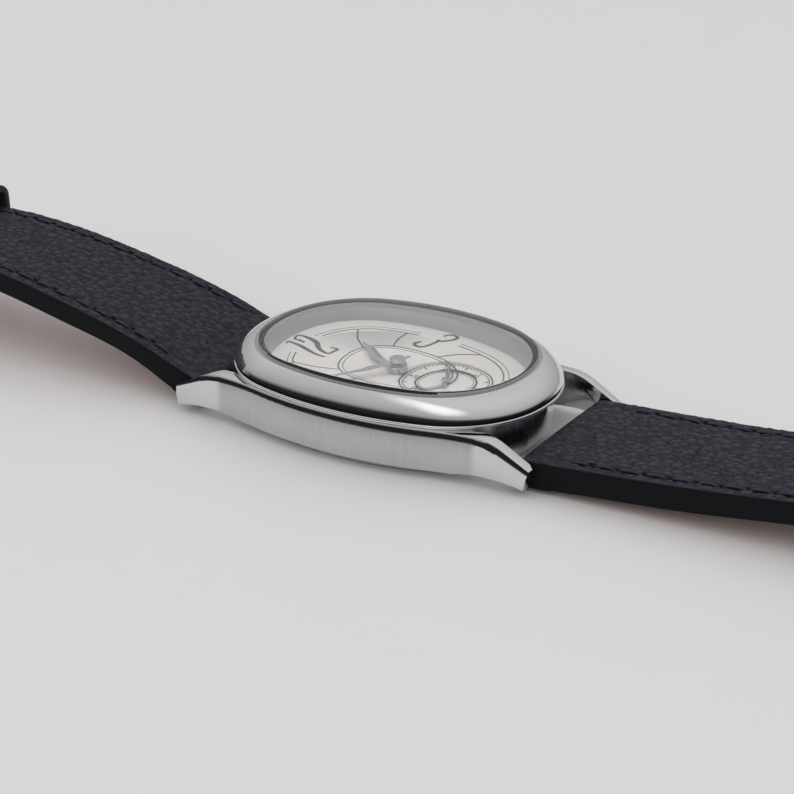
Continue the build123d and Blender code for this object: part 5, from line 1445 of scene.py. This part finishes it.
def studio_light(tree, light_level):
    """Build the studio: even light on what is matt, and a mirrored sky with a dark band for the steel."""
    heading = add(tree, "ShaderNodeTexCoord").outputs["Generated"]
    rise = add(tree, "ShaderNodeSeparateXYZ", {0: heading}).outputs["Z"]
    away, lean, lift = {0: heading, 1: (0.856, 0.517, 0.0)}, 0.27, 0.24
    ahead = add(tree, "ShaderNodeVectorMath", away, operation="DOT_PRODUCT").outputs["Value"]
    leaning = worked_out(tree, "MULTIPLY_ADD", ahead, lean, lift)
    bands = add(tree, "ShaderNodeValToRGB", {"Fac": worked_out(tree, "ADD", rise, leaning)})
    # Levels of light from low to overhead, with a dark band about the horizon
    ramp = bands.color_ramp
    ramp.elements[0].position, ramp.elements[0].color = 0.0, (0.6, 0.6, 0.6, 1)
    ramp.elements[1].position, ramp.elements[1].color = 1.0, (0.66, 0.66, 0.67, 1)
    for place, level in ((0.04, 0.5), (0.07, 0.012), (0.43, 0.016), (0.49, 0.40), (0.62, 0.53)):
        ramp.elements.new(place).color = (level, level, level * 1.01, 1)
    far = spanned(tree, ahead, 0.3, 0.6)
    far_sky = spanned(tree, rise, 0.0, 0.6, 0.38, 0.62)
    sky = blended(tree, far, bands.outputs["Color"], far_sky)
    # A soft oval glow above the camera, which the near side of the bezel mirrors
    squares, glow_middle = [], (-0.64, -0.21, 0.74)
    for aim, share in (((-0.30, 0.95, 0.0), 0.5), ((-0.68, -0.21, -0.70), 0.26)):
        apart = add(tree, "ShaderNodeVectorMath", {0: heading, 1: glow_middle}, operation="SUBTRACT")
        across = {0: apart.outputs[0], 1: Vector(aim).normalized() / share}
        reach = add(tree, "ShaderNodeVectorMath", across, operation="DOT_PRODUCT").outputs["Value"]
        squares.append(worked_out(tree, "POWER", reach, 2.0))
    spread = worked_out(tree, "ADD", *squares)
    glow = spanned(tree, spread, 0.0, 1.0, 0.62, 0.0, interpolation_type="SMOOTHSTEP")
    mirrored = {"Color": blended(tree, 1.0, sky, glow, "ADD"), "Strength": 1.0}
    level = worked_out(tree, "MULTIPLY", spanned(tree, rise, 0.0, 1.0, 0.78, 1.05), light_level)
    even = {"Color": (1, 0.99, 0.99, 1), "Strength": level}
    shaders = [add(tree, "ShaderNodeBackground", inputs).outputs[0] for inputs in (even, mirrored)]
    glossy = add(tree, "ShaderNodeLightPath").outputs["Is Glossy Ray"]
    mixed = add(tree, "ShaderNodeMixShader", {0: glossy, 1: shaders[0], 2: shaders[1]})
    plug(tree, add(tree, "ShaderNodeOutputWorld"), {"Surface": mixed.outputs[0]})


class WATCH_OT_stage(bpy.types.Operator):
    """Set up the table, the even studio light, the soft lamp and the camera"""

    bl_idname = "watch.stage"
    bl_label = "Stage"

    def execute(self, context):
        scene = context.scene
        colours = scene.watch_finishes
        deselect()
        bpy.ops.mesh.primitive_plane_add(size=6.0, location=(0, 0, 0))
        table = context.object
        table.name = table.data.name = "table"
        bpy.ops.object.mode_set(mode="EDIT")
        bpy.ops.mesh.subdivide(number_cuts=8)
        bpy.ops.object.mode_set(mode="OBJECT")
        top = finish("table_top", colours.table, 0.55, 0.0, (60, 60, 60), bump=0.02, contrast=0.012)
        table.data.materials.append(top)

        world = bpy.data.worlds.new("Studio")
        scene.world = world
        world.use_nodes = True
        world.node_tree.nodes.clear()
        studio_light(world.node_tree, colours.light_level)

        light = bpy.data.lights.new("softbox", "AREA")
        light.shape, light.size, light.size_y, light.energy = "ELLIPSE", 1.1, 0.5, 0.62
        softbox = bpy.data.objects.new("softbox", light)
        softbox.location = Vector((-0.67, 0.29, 0.68))
        softbox.rotation_euler = (-softbox.location).to_track_quat("-Z", "Y").to_euler()
        softbox.visible_glossy = False
        scene.collection.objects.link(softbox)

        turn, tilt, distance, aim_height = radians(-58.88), radians(22.13), 282.81, 9.0
        picture_size, middle_x, middle_y = 794, 397.475, 346.338
        back = Vector((sin(turn) * cos(tilt), -cos(turn) * cos(tilt), sin(tilt)))
        right = Vector((cos(turn), sin(turn), 0))
        camera = bpy.data.cameras.new("camera")
        camera.lens, camera.sensor_width = 110.18, 36.0
        camera.shift_x = -(middle_x - picture_size / 2) / picture_size
        camera.shift_y = -(picture_size / 2 - middle_y) / picture_size
        camera.clip_start, camera.clip_end = 0.01, 20.0
        stand = bpy.data.objects.new("camera", camera)
        turned = Matrix((right, back.cross(right), back)).transposed().to_4x4()
        place = Vector((0, 0, aim_height)) + back * distance
        stand.matrix_world = Matrix.Translation(place * MM) @ turned
        scene.collection.objects.link(stand)
        scene.camera = stand
        scene.view_settings.view_transform = "Standard"
        return {"FINISHED"}


class WATCH_PT_panel(bpy.types.Panel):
    """List the pieces of the watch and the sizes and colours that they use"""

    bl_label = "Watch"
    bl_idname = "WATCH_PT_panel"
    bl_space_type = "VIEW_3D"
    bl_region_type = "UI"
    bl_category = "Watch"

    def draw(self, context):
        """Draw a button for each step and a field for each size and colour."""
        layout = self.layout
        for step in STEPS:
            layout.operator(step.bl_idname)
        for name, group in GROUPS.items():
            box = layout.box()
            box.label(text=group.__doc__)
            for field in group.__annotations__:
                box.prop(getattr(context.scene, name), field)


GROUPS = {
    "watch_case": CaseSizes,
    "watch_dial": DialSizes,
    "watch_strap": StrapSizes,
    "watch_finishes": Finishes,
}
# The order in which the watch is modelled
STEPS = (
    WATCH_OT_stage,
    WATCH_OT_case,
    WATCH_OT_bezel,
    WATCH_OT_crystal,
    WATCH_OT_dial,
    WATCH_OT_hands,
    WATCH_OT_crown,
    WATCH_OT_strap,
    WATCH_OT_keepers,
    WATCH_OT_buckle,
    WATCH_OT_movement,
)


def register():
    """Register the property groups, the operators and the panel."""
    for name, group in GROUPS.items():
        bpy.utils.register_class(group)
        setattr(bpy.types.Scene, name, bpy.props.PointerProperty(type=group))
    for kind in (*STEPS, WATCH_PT_panel):
        bpy.utils.register_class(kind)


def unregister():
    """Take them off again."""
    for kind in reversed((*STEPS, WATCH_PT_panel)):
        bpy.utils.unregister_class(kind)
    for name, group in GROUPS.items():
        delattr(bpy.types.Scene, name)
        bpy.utils.unregister_class(group)


def main():
    """Model the whole watch on its stage."""
    register()
    for step in STEPS:
        family, name = step.bl_idname.split(".")
        getattr(getattr(bpy.ops, family), name)()


if __name__ == "__main__":
    main()
